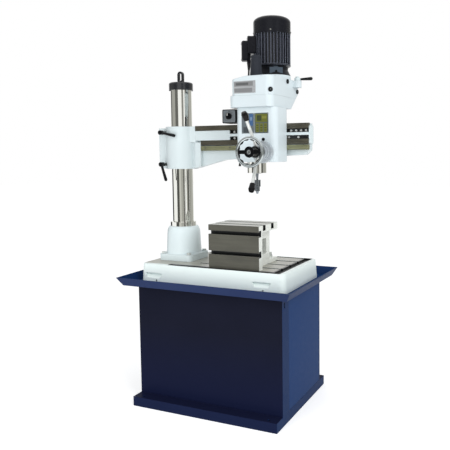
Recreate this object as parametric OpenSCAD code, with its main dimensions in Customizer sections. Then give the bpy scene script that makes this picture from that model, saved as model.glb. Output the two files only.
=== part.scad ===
// Radial arm drill on a sheet-metal stand.
// Millimetres. Origin on the floor, at the centre of the floor bolts.
// +X runs along the arm, +Y to the back, +Z up.

/* [Stand] */
// Length of the stand along the arm
stand_w = 800; // [760:1:840]
// Depth over the two foot bars
foot_span = 646; // [630:1:680]
// Foot bars, height
foot_h = 48; // [36:1:60]
// Width of each foot bar
foot_bar_w = 110; // [100:1:130]
// Depth of the cabinet, front to back
cabinet_d = 508; // [480:1:530]
// Height of the cabinet above the foot bars
cabinet_h = 569; // [500:1:640]
// Floor bolt holes, diameter
floor_hole_d = 14; // [10:1:18]
// Floor bolts to the stand's ends
floor_bolt_in = 50; // [40:1:70]
// Floor bolts to the foot bars' outer edges
floor_bolt_edge = 23; // [20:1:28]

/* [Tray] */
// Tray floor length
tray_w = 898; // [880:1:940]
// Tray floor depth
tray_d = 630; // [600:1:680]
// Tray lip height
tray_lip_h = 42; // [30:1:60]
// Outward flare of the lip
tray_flare = 25; // [10:1:35]

/* [Base casting] */
// Length of the base at its foot
base_l = 812; // [790:1:840]
// Depth of the base at its foot
base_d = 460; // [450:1:470]
// Base height
base_h = 96; // [86:1:110]
// Draft of the base sides, foot to deck
base_draft = 6; // [4:1:9]
// Neck width of the deck T-slots
tslot_neck = 18; // [16:1:20]
// Deck T-slots, spacing
tslot_pitch = 105; // [100:1:108]
// Width of a side pocket at its foot
pocket_w = 72; // [60:1:84]

/* [Box table] */
// Length of the table's top plate
table_l = 276; // [260:1:290]
// Table depth
table_d = 218; // [212:1:222]
// Table height
table_h = 215; // [200:1:230]
// Top plate thickness
table_top_t = 34; // [32:1:40]
// Spacing of the T-slots in the top
table_slot_pitch = 95; // [90:1:104]

/* [Column] */
// Column diameter
column_d = 112; // [108:0.5:116]
// Column tube wall
column_wall = 11; // [8:0.5:14]
// Column axis left of the origin
column_left = 284; // [278:1:290]
// Square column flange side
col_flange_w = 196; // [190:1:204]
// Column flange thickness
col_flange_t = 34; // [28:1:40]
// Bell diameter at its flange
bell_d = 194; // [190:1:195]
// Bell diameter under its shoulder
bell_top_d = 176; // [170:1:180]
// Bell height
bell_h = 146; // [130:1:160]
// Polished ring diameter
ring_d = 138; // [134:1:142]
// Polished ring height
ring_h = 22; // [16:1:28]
// Column length between ring and cap
column_rise = 693; // [690:1:720]
// Column cap diameter
cap_d = 126; // [122:1:132]
// Column cap height
cap_h = 41; // [34:1:48]
// Lifting eye width
eye_w = 34; // [30:1:40]
// Lifting eye height
eye_h = 59; // [52:1:66]

/* [Arm] */
// Arm boss above the polished ring
arm_rise = 282; // [275:1:300]
// Arm boss, diameter
boss_d = 170; // [166:1:176]
// Arm boss, height
boss_h = 220; // [216:1:224]
// Column axis to the clamp ear's end
ear_reach = 114; // [110:1:118]
// Clamp studs, diameter
stud_d = 16; // [12:0.5:17]
// Column axis to the arm's end
arm_reach = 730; // [720:1:760]
// Column axis to the ways' front plane
way_front = 30; // [28:1:34]
// Ways, depth
way_depth = 22; // [20:1:24]
// Thickness of the beam behind the ways
beam_t = 33; // [30:1:40]
// Upper way height
upper_way_h = 26; // [24:1:28]
// Lower way height
lower_way_h = 24; // [22:1:26]
// Height of the channel between the ways
channel_h = 50; // [46:1:54]

/* [Elevation] */
// Elevating rack width
erack_w = 24; // [22:1:28]
// Crank socket diameter
socket_d = 30; // [26:1:32]

/* [Head] */
// Width of the head along the arm
head_w = 214; // [210:1:218]
// Head's right side to the arm's end
head_from_end = 112; // [108:1:114]
// Depth of the head in front of the ways
head_d = 128; // [126:1:134]
// Head's foot above the boss foot
head_foot = 36; // [32:1:40]
// Head casting height
head_h = 259; // [250:1:270]
// Switch box width
switch_w = 74; // [66:1:80]
// Switch box height
switch_h = 66; // [58:1:72]

/* [Gearbox] */
// Gearbox case height
case_h = 55; // [50:1:60]
// Gearbox cover height
cover_h = 90; // [86:1:100]
// Overhang of the case left of the head
case_left = 25; // [20:1:30]
// Overhang of the case at the front
case_front = 22; // [18:1:28]
// Gearbox reach behind the ways' front plane
case_back = 177; // [172:1:184]
// Gears, module
gear_module = 2.5; // [2.5:0.1:2.6]
// Teeth of the motor pinion
motor_teeth = 20; // [20, 21]
// Teeth of the large layshaft gear
lay_large_teeth = 44; // [43, 44]
// Teeth of the small layshaft gear
lay_small_teeth = 22; // [22, 23]
// Teeth of the spindle gear
spindle_teeth = 42; // [41, 42]
// Face width of the gears
gear_w = 20; // [16:1:22]

/* [Motor] */
// Diameter over the motor's fins
motor_d = 186; // [180:1:190]
// Fins, depth
fin_depth = 11; // [8:1:13]
// Number of fins
fin_count = 36; // [24, 30, 36, 40]
// Adapter bell height
adapter_h = 43; // [40:1:50]
// Lower end shield height
shield_h = 12; // [10:1:18]
// Finned frame length
frame_h = 148; // [140:1:160]
// Fan cowl height
cowl_h = 87; // [82:1:98]
// Terminal box height
terminal_h = 86; // [76:1:94]
// Terminal box width
terminal_w = 74; // [64:1:80]
// Reach of the terminal box beyond the fins
terminal_reach = 32; // [26:1:38]
// Motor lead diameter
lead_d = 9; // [7:0.5:11]

/* [Feed and traverse] */
// Feed axis above the head's foot
feed_h = 47; // [46:1:50]
// Quill rack module
feed_module = 2.5; // [2.5:0.1:2.6]
// Teeth of the feed pinion
feed_teeth = 18; // [18, 19]
// Hollow feed shaft diameter
feed_shaft_d = 36; // [32:1:38]
// Feed flange diameter
flange_d = 104; // [98:1:110]
// Feed flange thickness
flange_t = 22; // [20:1:26]
// Depth dial diameter
dial_d = 84; // [78:1:90]
// Depth dial width
dial_w = 25; // [20:1:30]
// Lever hub diameter
hub_d = 54; // [50:1:60]
// Forward cone angle of the feed levers
lever_cone = 32; // [28:1:33]
// Feed lever length
lever_l = 193; // [180:1:196]
// Feed lever diameter
lever_d = 15; // [12:0.5:16]
// Feed knob length
knob_l = 40; // [36:1:46]
// Diameter of a feed knob at its end
knob_d = 31; // [29:1:36]
// Traverse rack module
traverse_module = 2; // [1.9:0.05:2.1]
// Handwheel shaft diameter
wheel_shaft_d = 16; // [14:0.5:17]
// Outer diameter of the handwheel
wheel_d = 142; // [136:1:148]
// Handwheel hub diameter
wheel_hub_d = 42; // [38:1:46]

/* [Quill, spindle and chuck] */
// Quill diameter
quill_d = 92; // [91:0.5:93]
// Quill length
quill_l = 260; // [250:1:266]
// Stretch of the quill below the head at rest
quill_out = 53; // [46:1:60]
// Feed travel of the quill
quill_travel = 120; // [100:1:125]
// Diameter of the spindle in its bearings
spindle_d = 36; // [34:1:40]
// Chuck body diameter
chuck_d = 33; // [30:1:36]
// Chuck body height
chuck_h = 33; // [28:1:36]
// Diameter of the chuck's nose
chuck_nose_d = 24; // [22:1:26]

/* [Hidden] */
$fn = 72;
// Overrun of cuts past a face
overrun = 1;
// Gap between seated pieces of one body
seat_gap = 0.05;
// Radial clearance of a shaft
run_gap = 0.06;
// Gap between moving faces
face_gap = 0.3;
// Backlash taken off each tooth
backlash = 0.5;
// Pressure angle of all teeth
tooth_angle = 20;
addendum_share = 0.75;
dedendum_share = 1;

// Lesser dimensions
corner_strip_w = 78;
strip_slot_in = 24;
strip_slot_w = 8;
strip_slot_h = 28;
base_shift = -8;
base_back = 12;
deck_from_column = 154;
tslot_wide = 30;
pocket_left = 324;
pocket_right = 286;
table_from_column = 260;
table_front = 184;
window_h = 78;
window_w = 56;
window_back = 34;
window_rise = 97;
table_foot_d = 97;
col_bolt_pitch = 156;
ear_half = 45;
stud_reach = 69;
stud_low = 24;
stud_high = 190;
upper_way_start = 100;
lower_way_start = 132;
web_end = 304;
keel_mid = 49;
keel_end = 26;
gusset_h = 137;
gusset_in = 8;
gusset_pad = 97;
erack_depth = 16;
elevate_h = 110;
head_corner_r = 30;
spindle_in = 83;
spindle_out = 63;
keeper_l = 104;
switch_d = 80;
switch_knob_d = 30;
case_slant_h = 80;
pad_h = 20;
case_in = 12;
motor_right = 20;
motor_behind = 145;
adapter_waist = 158;
adapter_flat_w = 66;
adapter_flat_r = 86;
adapter_flat_angle = -53;
cowl_edge_w = 50;
cowl_edge_h = 26;
cowl_slots = 20;
terminal_angle = 30;
quill_pitch = 43.5;
quill_rack_w = 26;
hub_l = 47;
lever_tilt = 5.3;
traverse_teeth = 12;
wheel_out = 148;
wheel_rim_d = 14;
wheel_scallops = 12;
spline_d = 26;
bearing_d = 62;
bearing_h = 18;
arbor_l = 34;
arbor_d = 15;
foot_t = 5;
sheet_t = 3;
rear_strip_w = 14;
panel_gap = 0.8;
tray_t = 3;
base_corner_r = 30;
base_rim_h = 12;
trough_w = 22;
trough_depth = 10;
trough_land = 3;
trough_end_w = 38;
trough_end_land = 23;
trough_start = 30;
tslot_neck_depth = 15;
tslot_wide_h = 11;
pocket_top_w = 98;
pocket_h = 26;
pocket_ledge = 24;
pocket_depth = 20;
core_wall = 48;
core_deck_t = 44;
table_lip = 44;
table_face_t = 38;
table_wall = 32;
front_slot_low = 77;
front_slot_high = 177;
window_r = 10;
table_foot_t = 19;
col_flange_r = 22;
bell_shoulder_h = 42;
bell_foot_r = 4;
cap_edge_r = 9;
cap_spigot = 20;
eye_t = 14;
eye_open_w = 15;
slit_w = 4;
ear_chamfer = 32;
rib_h = 14;
rib_face_t = 8;
rib_neck_h = 6;
rack_drop = 4.5;
keel_chamfer = 22;
keel_root = 4;
end_plate_t = 6;
end_plate_h = 88;
end_plate_d = 48;
switch_back = 8;
cover_step = 11;
case_floor_back = 84;
case_corner_r = 32;
case_wall = 9;
case_floor_t = 13;
roof_slope_l = 80;
roof_slope_h = 17;
layshaft_d = 20;
fin_t = 3;
fin_root_share = 0.6;
cowl_t = 2.5;
terminal_cover_t = 28;
terminal_drop = 34;
terminal_cover_share = 0.8;
chuck_nose_h = 22;
jaw_out = 13;

// Floor bolts
floor_bolt_x = stand_w - 2 * floor_bolt_in;
floor_bolt_y = foot_span - 2 * floor_bolt_edge;

// Heights of the standing parts
tray_z = foot_h + cabinet_h;
base_z = tray_z + tray_t;
deck_z = base_z + base_h;
bell_z = deck_z + col_flange_t;
ring_z = bell_z + bell_h;
ring_top = ring_z + ring_h;
cap_z = ring_top + column_rise;
column_x = -column_left;
column_r = column_d / 2;

// Heights and places of the arm
boss_z = ring_top + arm_rise;
boss_top = boss_z + boss_h;
boss_r = boss_d / 2;
way_lip = 2;
way_top = boss_top + way_lip;
channel_top = way_top - upper_way_h;
channel_z = channel_top - channel_h;
lower_way_z = channel_z - lower_way_h;
rack_top = lower_way_z - rack_drop;
rack_pitch_z = boss_z + head_foot + feed_h + traverse_module * traverse_teeth / 2;
rack_h = rack_top - rack_pitch_z;
rib_mid = channel_z + channel_h / 2;
beam_face = -way_front + way_depth;
beam_back = beam_face + beam_t;
arm_end = column_x + arm_reach;
web_x = column_x + web_end;
stud_x = column_x - stud_reach;
stud_heights = [boss_z + stud_low, boss_z + stud_high];

// Clamp levers
stud_out = 100;
clamp_hub_d = 24;
clamp_hub_l = 24;
clamp_hub_end = 4;
clamp_grip_l = 84;
clamp_grip_d = 16;
clamp_grip_root_d = 12;
clamp_neck = 4;
upper_lever_angle = 12;
lower_lever_angle = 72;

// Elevating gear
erack_module = 2.5;
erack_teeth = 14;
epinion_r = erack_module * erack_teeth / 2;
erack_pitch_y = column_r + erack_depth;
epinion_y = erack_pitch_y + epinion_r;
epinion_z = boss_z + elevate_h;
epinion_w = 26;
eshaft_d = 18;
ehouse_half = 34;
ehouse_h = 80;
ehouse_wall = 9;
socket_gap = 10;
socket_l = 30;

// Head places
head_x1 = arm_end - head_from_end;
head_x0 = head_x1 - head_w;
head_back = -way_front - face_gap;
head_front = head_back - head_d;
head_z = boss_z + head_foot;
head_top = head_z + head_h;
spindle_x = head_x0 + spindle_in;
spindle_y = head_back - spindle_out;
feed_pinion_r = feed_module * feed_teeth / 2;
feed_x = spindle_x + quill_pitch + feed_pinion_r;
feed_z = head_z + feed_h;
feed_pinion_w = quill_rack_w - 4 * face_gap;
feed_bore_r = feed_pinion_r + feed_module;
feed_shaft_r = feed_shaft_d / 2;
wheel_shaft_r = wheel_shaft_d / 2;
traverse_r = traverse_module * traverse_teeth / 2;
traverse_w = way_depth - 2 * way_lip;
quill_r = quill_d / 2;

// Gearbox places
case_x0 = head_x0 - case_left;
case_x1 = head_x1 - case_in;
case_y0 = head_front - case_front;
case_y1 = -way_front + case_back;
case_floor_y1 = -way_front + case_floor_back;
cover_z = head_top + case_h;
roof_z = cover_z + cover_h;
pad_z = roof_z + pad_h;
motor_x = spindle_x + motor_right;
motor_y = spindle_y + motor_behind;
spindle_pos = [spindle_x, spindle_y];
motor_pos = [motor_x, motor_y];
lay_reach_in = gear_module * (lay_small_teeth + spindle_teeth) / 2;
lay_reach_out = gear_module * (lay_large_teeth + motor_teeth) / 2;
gear_span = norm(motor_pos - spindle_pos);
gear_dir = (motor_pos - spindle_pos) / gear_span;
lay_square = lay_reach_in * lay_reach_in - lay_reach_out * lay_reach_out + gear_span * gear_span;
lay_along = lay_square / (2 * gear_span);
lay_aside = sqrt(lay_reach_in * lay_reach_in - lay_along * lay_along);
lay_pos = spindle_pos + lay_along * gear_dir + lay_aside * [gear_dir[1], -gear_dir[0]];
lay_angle = atan2(lay_pos[1] - spindle_y, lay_pos[0] - spindle_x);
drive_angle = atan2(motor_y - lay_pos[1], motor_x - lay_pos[0]);
low_gear_z = head_top + case_floor_t + gear_w;
high_gear_z = low_gear_z + gear_w + gear_w;
shaft_seat = 8;
sleeve_d = 48;
sleeve_bearing_d = 72;
plug_d = 22;
plug_sink = 2;
plug_t = 6;
plug_socket_d = 10;
index_screw_d = 15;
index_rise = 60;

// Motor heights
adapter_z = pad_z;
shield_z = adapter_z + adapter_h;
frame_z = shield_z + shield_h;
cowl_z = frame_z + frame_h;
motor_top = cowl_z + cowl_h;
motor_r = motor_d / 2;
fin_r = motor_r - way_lip / 2;
motor_core_r = motor_r - fin_depth;
rotor_d = 96;
rotor_end = 14;
motor_shaft_d = 28;
stator_wall_share = 0.28;
fan_d = 150;
fan_h = 26;
fan_blades = 8;
fan_blade_t = 3;
cowl_slot_w = 6;
cowl_slot_l = 20;
cowl_hub_d = 40;

// Speed lever
lever_boss_d = 42;
lever_boss_out = 17;
lever_boss_h = 34;
lever_boss_back = 48;
lever_boss_y = motor_y + lever_boss_back;
lever_boss_drop = 2;
speed_hub_d = 30;
speed_hub_h = 14;
speed_pin_d = 12;
speed_pin_l = 26;
speed_cap_h = 7;
speed_cap_d = 18;
speed_grip_l = 73;
speed_grip_d = 17;
speed_grip_root_d = 9;

// Switch
switch_x1 = head_x0;
switch_x0 = switch_x1 - switch_w;
switch_y0 = head_front + switch_back;
switch_z = boss_top + 2 * way_lip;
switch_plate_t = 3;
switch_rim = 4;
switch_corner_r = 5;
switch_knob_t = 20;
switch_bar_w = 10;
switch_pin_d = 8;
switch_pin_l = 16;

// Head lock knob
lock_in = 14;
lock_back = 16;
lock_pin_d = 8;
lock_pin_l = 20;
lock_drop = 6;
lock_knob_d = 13;
lock_knob_h = 14;

// Fasteners
base_bolt_d = 16;
base_bolt_in = 28;
column_bolt_d = 16;
column_bolt_l = 56;
table_bolt_d = 12;
hex_share = 1.6;
head_share = 0.65;
clear_share = 1.12;
screw_head_d = 11;
screw_head_h = 5;
screw_shank_d = 6;
screw_shank_l = 10;
upper_screw_pitch = 26;
lower_screw_pitch = 50;
screw_margin = 18;
rack_screw_pitch = 145;
rack_screw_margin = 28;
rack_screw_d = 10;
rack_screw_sink = 0.6;

// Spindle details
quill_z = head_z - quill_out;
spindle_nose_drop = 3;
spindle_nose_d = 44;
cover_tube_h = 95;
spindle_top = roof_z + cover_tube_h - 2 * motor_right;
quill_collar_h = 12;
quill_bore_d = 52;
rack_margin = 20;
jaw_d = 9;
jaw_slit = 1.6;
key_hole_d = 5;
sleeve_knurls = 24;
knurl_depth = 0.8;
cover_tube_foot_d = 62;
cover_tube_top_d = 48;
cover_tube_wall = 5;

// Return spring
spring_t = 1.2;
spring_pitch = 5;
spring_turns = 3;
spring_steps = 20;
spring_w = 12;
spring_margin = 4;

// Lead from terminal cover to gearbox
terminal_rise_share = 0.65;
terminal_mid = frame_z + frame_h * terminal_rise_share;
terminal_x1 = motor_r + terminal_reach;
terminal_x2 = terminal_x1 + terminal_cover_t;
terminal_low = terminal_mid - terminal_h / 2 - terminal_drop;
lead_r = terminal_x1 + lead_d / 2;
gland_d = 16;
gland_h = 10;
lead_in = 25;
lead_end_y = -32;
lead_steps = 8;
lead_end_x = case_x0 + cover_step + lead_in;
lead_roof_z = roof_z - roof_slope_h * (1 - (cover_step + lead_in) / (cover_step + roof_slope_l));
lead_start = [motor_x - lead_r * cos(terminal_angle), motor_y - lead_r * sin(terminal_angle), terminal_low];
lead_end = [lead_end_x, lead_end_y, lead_roof_z - gland_h / 2];
function lead_point(t) = let (s = (1 - cos(180 * t)) / 2, d = lead_end - lead_start)
  lead_start + [d[0] * s, d[1] * s, d[2] * t];
lead_route = [for (i = [0 : lead_steps]) lead_point(i / lead_steps)];
lead_sides = 10;

casting_white = "#e3ebea";
stand_navy = "#27375f";
steel_grey = "#9a9a96";
bright_steel = "#d4d4d0";
way_brown = "#776f66";
rack_olive = "#86845c";
black_paint = "#1e2024";
table_cream = "#e9e6d8";

// Extrudes an X-Z outline from y0 to y1
module xz_slab(y0, y1) {
  translate([0, y1, 0]) rotate([90, 0, 0]) linear_extrude(height = y1 - y0) children();
}

// Extrudes a Y-Z outline from x0 to x1
module yz_slab(x0, x1) {
  translate([x0, 0, 0]) rotate([90, 0, 90]) linear_extrude(height = x1 - x0) children();
}

// Round bar along Y
module y_bar(r, y0, y1) {
  translate([0, y1, 0]) rotate([90, 0, 0]) cylinder(r = r, h = y1 - y0);
}

// Round bar along X
module x_bar(r, x0, x1) {
  translate([x0, 0, 0]) rotate([0, 90, 0]) cylinder(r = r, h = x1 - x0);
}

// Rectangle with round corners, centred
module round_rect(w, d, r) {
  square([w - 2 * r, d], center = true);
  square([w, d - 2 * r], center = true);
  for (x = [-1, 1], y = [-1, 1]) translate([x * (w / 2 - r), y * (d / 2 - r)]) circle(r);
}

// Rectangle with two round front corners
module front_round(x0, x1, y0, y1, r) {
  translate([x0, y0 + r]) square([x1 - x0, y1 - y0 - r]);
  translate([x0 + r, y0]) square([x1 - x0 - 2 * r, r]);
  for (x = [x0 + r, x1 - r]) translate([x, y0 + r]) circle(r);
}

// Hexagon bolt, head on z = 0, shank below
module hex_bolt(d, l) {
  cylinder(d = d * hex_share, h = d * head_share, $fn = 6);
  translate([0, 0, -l]) cylinder(d = d, h = l);
}

// Tapered grip with a round end, along +Z
module taper_grip(d1, d2, l) {
  r = d2 / 2;
  rotate_extrude() polygon(concat([[0, 0], [d1 / 2, 0]],
    [for (a = [0 : 15 : 75]) [r * cos(a), l + r * sin(a)]], [[0, l + r]]));
}

// T-shaped slot outline with its mouth at y = 0
module tslot_outline() {
  translate([-tslot_neck / 2, -tslot_neck_depth]) square([tslot_neck, tslot_neck_depth + overrun]);
  translate([-tslot_wide / 2, -tslot_neck_depth - tslot_wide_h]) square([tslot_wide, tslot_wide_h]);
}

// Involute gear outline, one tooth along +X
function involute(a) = tan(a) - a * PI / 180;
function tooth_half(m, z, r) = let (rp = m * z / 2)
  ((PI * m / 2 - backlash) / (2 * rp) + involute(tooth_angle)
   - involute(acos(min(1, rp * cos(tooth_angle) / r)))) * 180 / PI;
function flank_radii(m, z) = let (rp = m * z / 2, rb = rp * cos(tooth_angle),
  ra = rp + addendum_share * m, rf = rp - dedendum_share * m)
  rf < rb ? [rf, rb, rp, ra] : [rf, rp, ra];
function polar(r, a) = [r * cos(a), r * sin(a)];
function gear_points(m, z) = let (radii = flank_radii(m, z), rb = m * z / 2 * cos(tooth_angle))
  [for (i = [0 : z - 1]) each concat(
    [for (r = radii) polar(r, 360 * i / z - tooth_half(m, z, max(r, rb)))],
    [for (k = [len(radii) - 1 : -1 : 0]) polar(radii[k], 360 * i / z + tooth_half(m, z, max(radii[k], rb)))])];
module gear(m, z, w, turn) {
  rotate(turn) linear_extrude(height = w) polygon(gear_points(m, z));
}

// Rack outline: pitch line on x = 0, teeth towards +x
function rack_points(m, n, depth) = let (p = PI * m, half = p / 4 - backlash / 4,
  tip = half - addendum_share * m * tan(tooth_angle), root = half + dedendum_share * m * tan(tooth_angle))
  concat([[-depth, 0]],
    [for (i = [0 : n - 1]) let (c = (i + 0.5) * p) each [[-dedendum_share * m, c - root],
      [addendum_share * m, c - tip], [addendum_share * m, c + tip], [-dedendum_share * m, c + root]]],
    [[-depth, n * p]]);

// Tube swept along a route of points
function route_step(p, i) = let (a = p[max(i - 1, 0)], b = p[min(i + 1, len(p) - 1)]) (b - a) / norm(b - a);
function ring_at(p, i, r, n) = let (t = route_step(p, i), u = cross([0, 1, 0], t) / norm(cross([0, 1, 0], t)),
  v = cross(t, u)) [for (k = [0 : n - 1]) p[i] + r * (cos(360 * k / n) * u + sin(360 * k / n) * v)];
module tube_along(p, r, n) {
  last = len(p) - 1;
  polyhedron(
    points = [for (i = [0 : last]) each ring_at(p, i, r, n)],
    faces = concat(
      [[for (k = [n - 1 : -1 : 0]) k]],
      [for (i = [0 : last - 1], k = [0 : n - 1]) each [
        [i * n + k, i * n + (k + 1) % n, (i + 1) * n + (k + 1) % n],
        [i * n + k, (i + 1) * n + (k + 1) % n, (i + 1) * n + k]]],
      [[for (k = [0 : n - 1]) last * n + k]]));
}

// Stand

module stand_feet() {
  gap = foot_span / 2 - foot_bar_w;
  color(stand_navy) {
    for (s = [-1, 1]) difference() {
      translate([-stand_w / 2, s > 0 ? gap : -foot_span / 2, 0]) cube([stand_w, foot_bar_w, foot_h]);
      translate([-stand_w / 2 + foot_t, (s > 0 ? gap : -foot_span / 2) + foot_t, -overrun])
        cube([stand_w - 2 * foot_t, foot_bar_w - 2 * foot_t, foot_h - foot_t + overrun]);
      for (x = [-1, 1]) translate([x * floor_bolt_x / 2, s * floor_bolt_y / 2, 0])
        cylinder(d = floor_hole_d, h = foot_h + overrun);
    }
    for (x = [-stand_w / 2, stand_w / 2 - foot_t]) translate([x, -gap - overrun, 0])
      cube([foot_t, 2 * (gap + overrun), foot_h]);
  }
}

module stand_cabinet() {
  inner_w = stand_w - 2 * sheet_t;
  inner_d = cabinet_d - 2 * sheet_t;
  color(stand_navy) difference() {
    translate([-stand_w / 2, -cabinet_d / 2, foot_h]) cube([stand_w, cabinet_d, cabinet_h]);
    translate([-inner_w / 2, -inner_d / 2, foot_h + sheet_t]) cube([inner_w, inner_d, cabinet_h - 2 * sheet_t]);
    translate([stand_w / 2 - 2 * sheet_t, -cabinet_d / 2 + corner_strip_w, foot_h + sheet_t])
      cube([3 * sheet_t, cabinet_d - corner_strip_w - rear_strip_w, cabinet_h - 2 * sheet_t]);
    translate([base_shift - base_l / 2 + 2 * core_wall, base_back - base_d / 2 + core_wall,
      tray_z - 2 * sheet_t])
      cube([base_l - 4 * core_wall, base_d - 2 * core_wall, 3 * sheet_t]);
    translate([stand_w / 2 - 2 * sheet_t, -cabinet_d / 2 + strip_slot_in, tray_z - 2 * strip_slot_h])
      cube([3 * sheet_t, strip_slot_w, strip_slot_h]);
    base_bolt_places() bolt_hole();
  }
}

module side_panel() {
  panel_w = cabinet_d - corner_strip_w - rear_strip_w - 2 * panel_gap;
  panel_h = cabinet_h - 2 * sheet_t - 2 * panel_gap;
  lip = rear_strip_w;
  y0 = -cabinet_d / 2 + corner_strip_w + panel_gap;
  z0 = foot_h + sheet_t + panel_gap;
  color(stand_navy) {
    translate([stand_w / 2 - sheet_t, y0, z0]) cube([sheet_t, panel_w, panel_h]);
    translate([stand_w / 2 - 2 * sheet_t - seat_gap, y0 - lip, z0]) cube([sheet_t, lip + sheet_t, panel_h]);
    translate([stand_w / 2 - 2 * sheet_t - seat_gap, y0, z0]) cube([sheet_t + seat_gap, sheet_t, panel_h]);
  }
}

function flare_points(w, h) = [[-w / 2, 0], [w / 2, 0], [w / 2 + tray_flare, h], [-w / 2 - tray_flare, h]];

module flared_pan(w, d, h) {
  intersection() {
    xz_slab(-d, d) polygon(flare_points(w, h));
    yz_slab(-w, w) polygon(flare_points(d, h));
  }
}

module chip_tray() {
  color(stand_navy) difference() {
    translate([0, 0, tray_z]) flared_pan(tray_w, tray_d, tray_lip_h);
    translate([0, 0, base_z]) flared_pan(tray_w - 2 * tray_t, tray_d - 2 * tray_t, tray_lip_h);
    base_bolt_places() bolt_hole();
  }
}

// Base

module base_bolt_places() {
  for (x = [base_shift - pocket_left, base_shift + pocket_right], s = [-1, 1])
    translate([x, base_back + s * (base_d - core_wall) / 2, base_z]) children();
}

module bolt_hole() {
  depth = tray_t + 2 * sheet_t;
  translate([0, 0, -depth]) cylinder(d = base_bolt_d + 2 * seat_gap, h = depth + base_bolt_in + overrun);
}

module column_bolt_places() {
  for (x = [-1, 1], y = [-1, 1])
    translate([column_x + x * col_bolt_pitch / 2, y * col_bolt_pitch / 2, 0]) children();
}

module base_outline(inset) {
  round_rect(base_l - 2 * inset, base_d - 2 * inset, base_corner_r - inset / 2);
}

deck_x1 = base_shift + base_l / 2 - base_draft - trough_end_land - trough_end_w;

module deck_trough() {
  left = column_x + trough_start;
  right = deck_x1 + trough_end_w;
  half = base_d / 2 - base_draft - trough_land;
  translate([0, base_back, deck_z - trough_depth])
  linear_extrude(height = trough_depth + overrun) difference() {
    translate([left, -half]) square([right - left, 2 * half]);
    translate([left - overrun, trough_w - half]) square([deck_x1 - left + overrun, 2 * (half - trough_w)]);
  }
}

// Wedge-shaped pocket in the front side
module side_pocket() {
  face = -base_d / 2;
  translate([0, 0, base_z + pocket_ledge]) intersection() {
    xz_slab(face - overrun, face + pocket_depth) polygon([[-pocket_w / 2, 0], [pocket_w / 2, 0],
      [pocket_top_w / 2, pocket_h], [-pocket_top_w / 2, pocket_h]]);
    yz_slab(-pocket_top_w, pocket_top_w) polygon([[face - overrun, 0], [face, 0],
      [face + pocket_depth, pocket_h], [face - overrun, pocket_h]]);
  }
}

module base_casting() {
  core_l = base_l / 2 - core_wall - core_wall / 2;
  core_d = base_d - 2 * core_wall;
  color(casting_white) difference() {
    translate([base_shift, base_back, base_z]) hull() {
      linear_extrude(height = base_rim_h) base_outline(0, $fn = 32);
      translate([0, 0, base_h - base_rim_h]) linear_extrude(height = base_rim_h)
        base_outline(base_draft, $fn = 32);
    }
    deck_trough();
    for (i = [-1 : 1]) translate([0, base_back + i * tslot_pitch, deck_z])
      yz_slab(column_x + deck_from_column, deck_x1 + overrun) tslot_outline();
    for (x = [-core_l - core_wall / 2, core_wall / 2])
      translate([base_shift + x, base_back - core_d / 2, base_z - overrun])
        cube([core_l, core_d, base_h - core_deck_t + overrun]);
    for (x = [base_shift - pocket_left, base_shift + pocket_right], s = [0, 1])
      translate([x, base_back, 0]) mirror([0, s, 0]) side_pocket();
    base_bolt_places() bolt_hole();
    column_bolt_places() translate([0, 0, deck_z + col_flange_t - column_bolt_l - overrun])
      cylinder(d = column_bolt_d + 2 * seat_gap, h = column_bolt_l);
  }
}

module hold_down_bolts() {
  grip = tray_t + sheet_t;
  color(steel_grey) {
    base_bolt_places() translate([0, 0, -grip]) mirror([0, 0, 1]) hex_bolt(base_bolt_d, grip + base_bolt_in);
    column_bolt_places() translate([0, 0, bell_z]) hex_bolt(column_bolt_d, column_bolt_l);
  }
}

// Box table

module box_table() {
  x0 = column_x + table_from_column;
  y0 = -table_front;
  y1 = y0 + table_d;
  mid = (y0 + y1) / 2;
  body_x0 = x0 + table_lip;
  body_x1 = x0 + table_l - table_lip;
  top_z = deck_z + table_h;
  core_z = deck_z + table_foot_t;
  core_h = table_h - table_top_t - table_foot_t - table_wall / 2;
  color(table_cream) difference() {
    union() {
      translate([body_x0, y0, deck_z]) cube([body_x1 - body_x0, table_d, table_h - table_top_t]);
      translate([x0, y0, deck_z]) cube([table_l, table_face_t, table_h - table_top_t]);
      translate([x0, y0, top_z - table_top_t]) cube([table_l, table_d, table_top_t]);
      translate([body_x0, y1, deck_z]) cube([body_x1 - body_x0, table_foot_d, table_foot_t]);
    }
    translate([body_x0 + table_wall, y0 + table_face_t, core_z])
      cube([body_x1 - body_x0 - 2 * table_wall, table_d - table_wall - table_face_t, core_h]);
    for (s = [-1, 1]) translate([0, mid + s * table_slot_pitch / 2, top_z])
      yz_slab(x0 - overrun, x0 + table_l + overrun) tslot_outline();
    for (h = [front_slot_low, front_slot_high]) translate([0, y0, deck_z + h])
      rotate([90, 0, 0]) yz_slab(x0 - overrun, x0 + table_l + overrun) tslot_outline();
    translate([0, -window_back, deck_z + window_rise])
      yz_slab(body_x0 - overrun, body_x1 + overrun) round_rect(window_w, window_h, window_r);
    table_bolt_places() translate([0, 0, -overrun])
      cylinder(d = table_bolt_d * clear_share, h = table_foot_t + 2 * overrun);
  }
}

module table_bolt_places() {
  body_x0 = column_x + table_from_column + table_lip;
  body_x1 = column_x + table_from_column + table_l - table_lip;
  for (x = [body_x0 + table_wall, body_x1 - table_wall])
    translate([x, base_back + tslot_pitch, deck_z]) children();
}

module table_bolts() {
  nut_w = tslot_wide - 4 * face_gap;
  nut_h = tslot_wide_h - 2 * face_gap;
  stud_l = tslot_neck_depth + table_foot_t + 2 * table_bolt_d;
  color(steel_grey) table_bolt_places() {
    translate([-nut_w / 2, -nut_w / 2, -tslot_neck_depth - nut_h]) cube([nut_w, nut_w, nut_h]);
    translate([0, 0, -tslot_neck_depth]) cylinder(d = table_bolt_d, h = stud_l);
    translate([0, 0, table_foot_t]) cylinder(d = table_bolt_d * hex_share, h = table_bolt_d, $fn = 6);
  }
}

// Column

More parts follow.
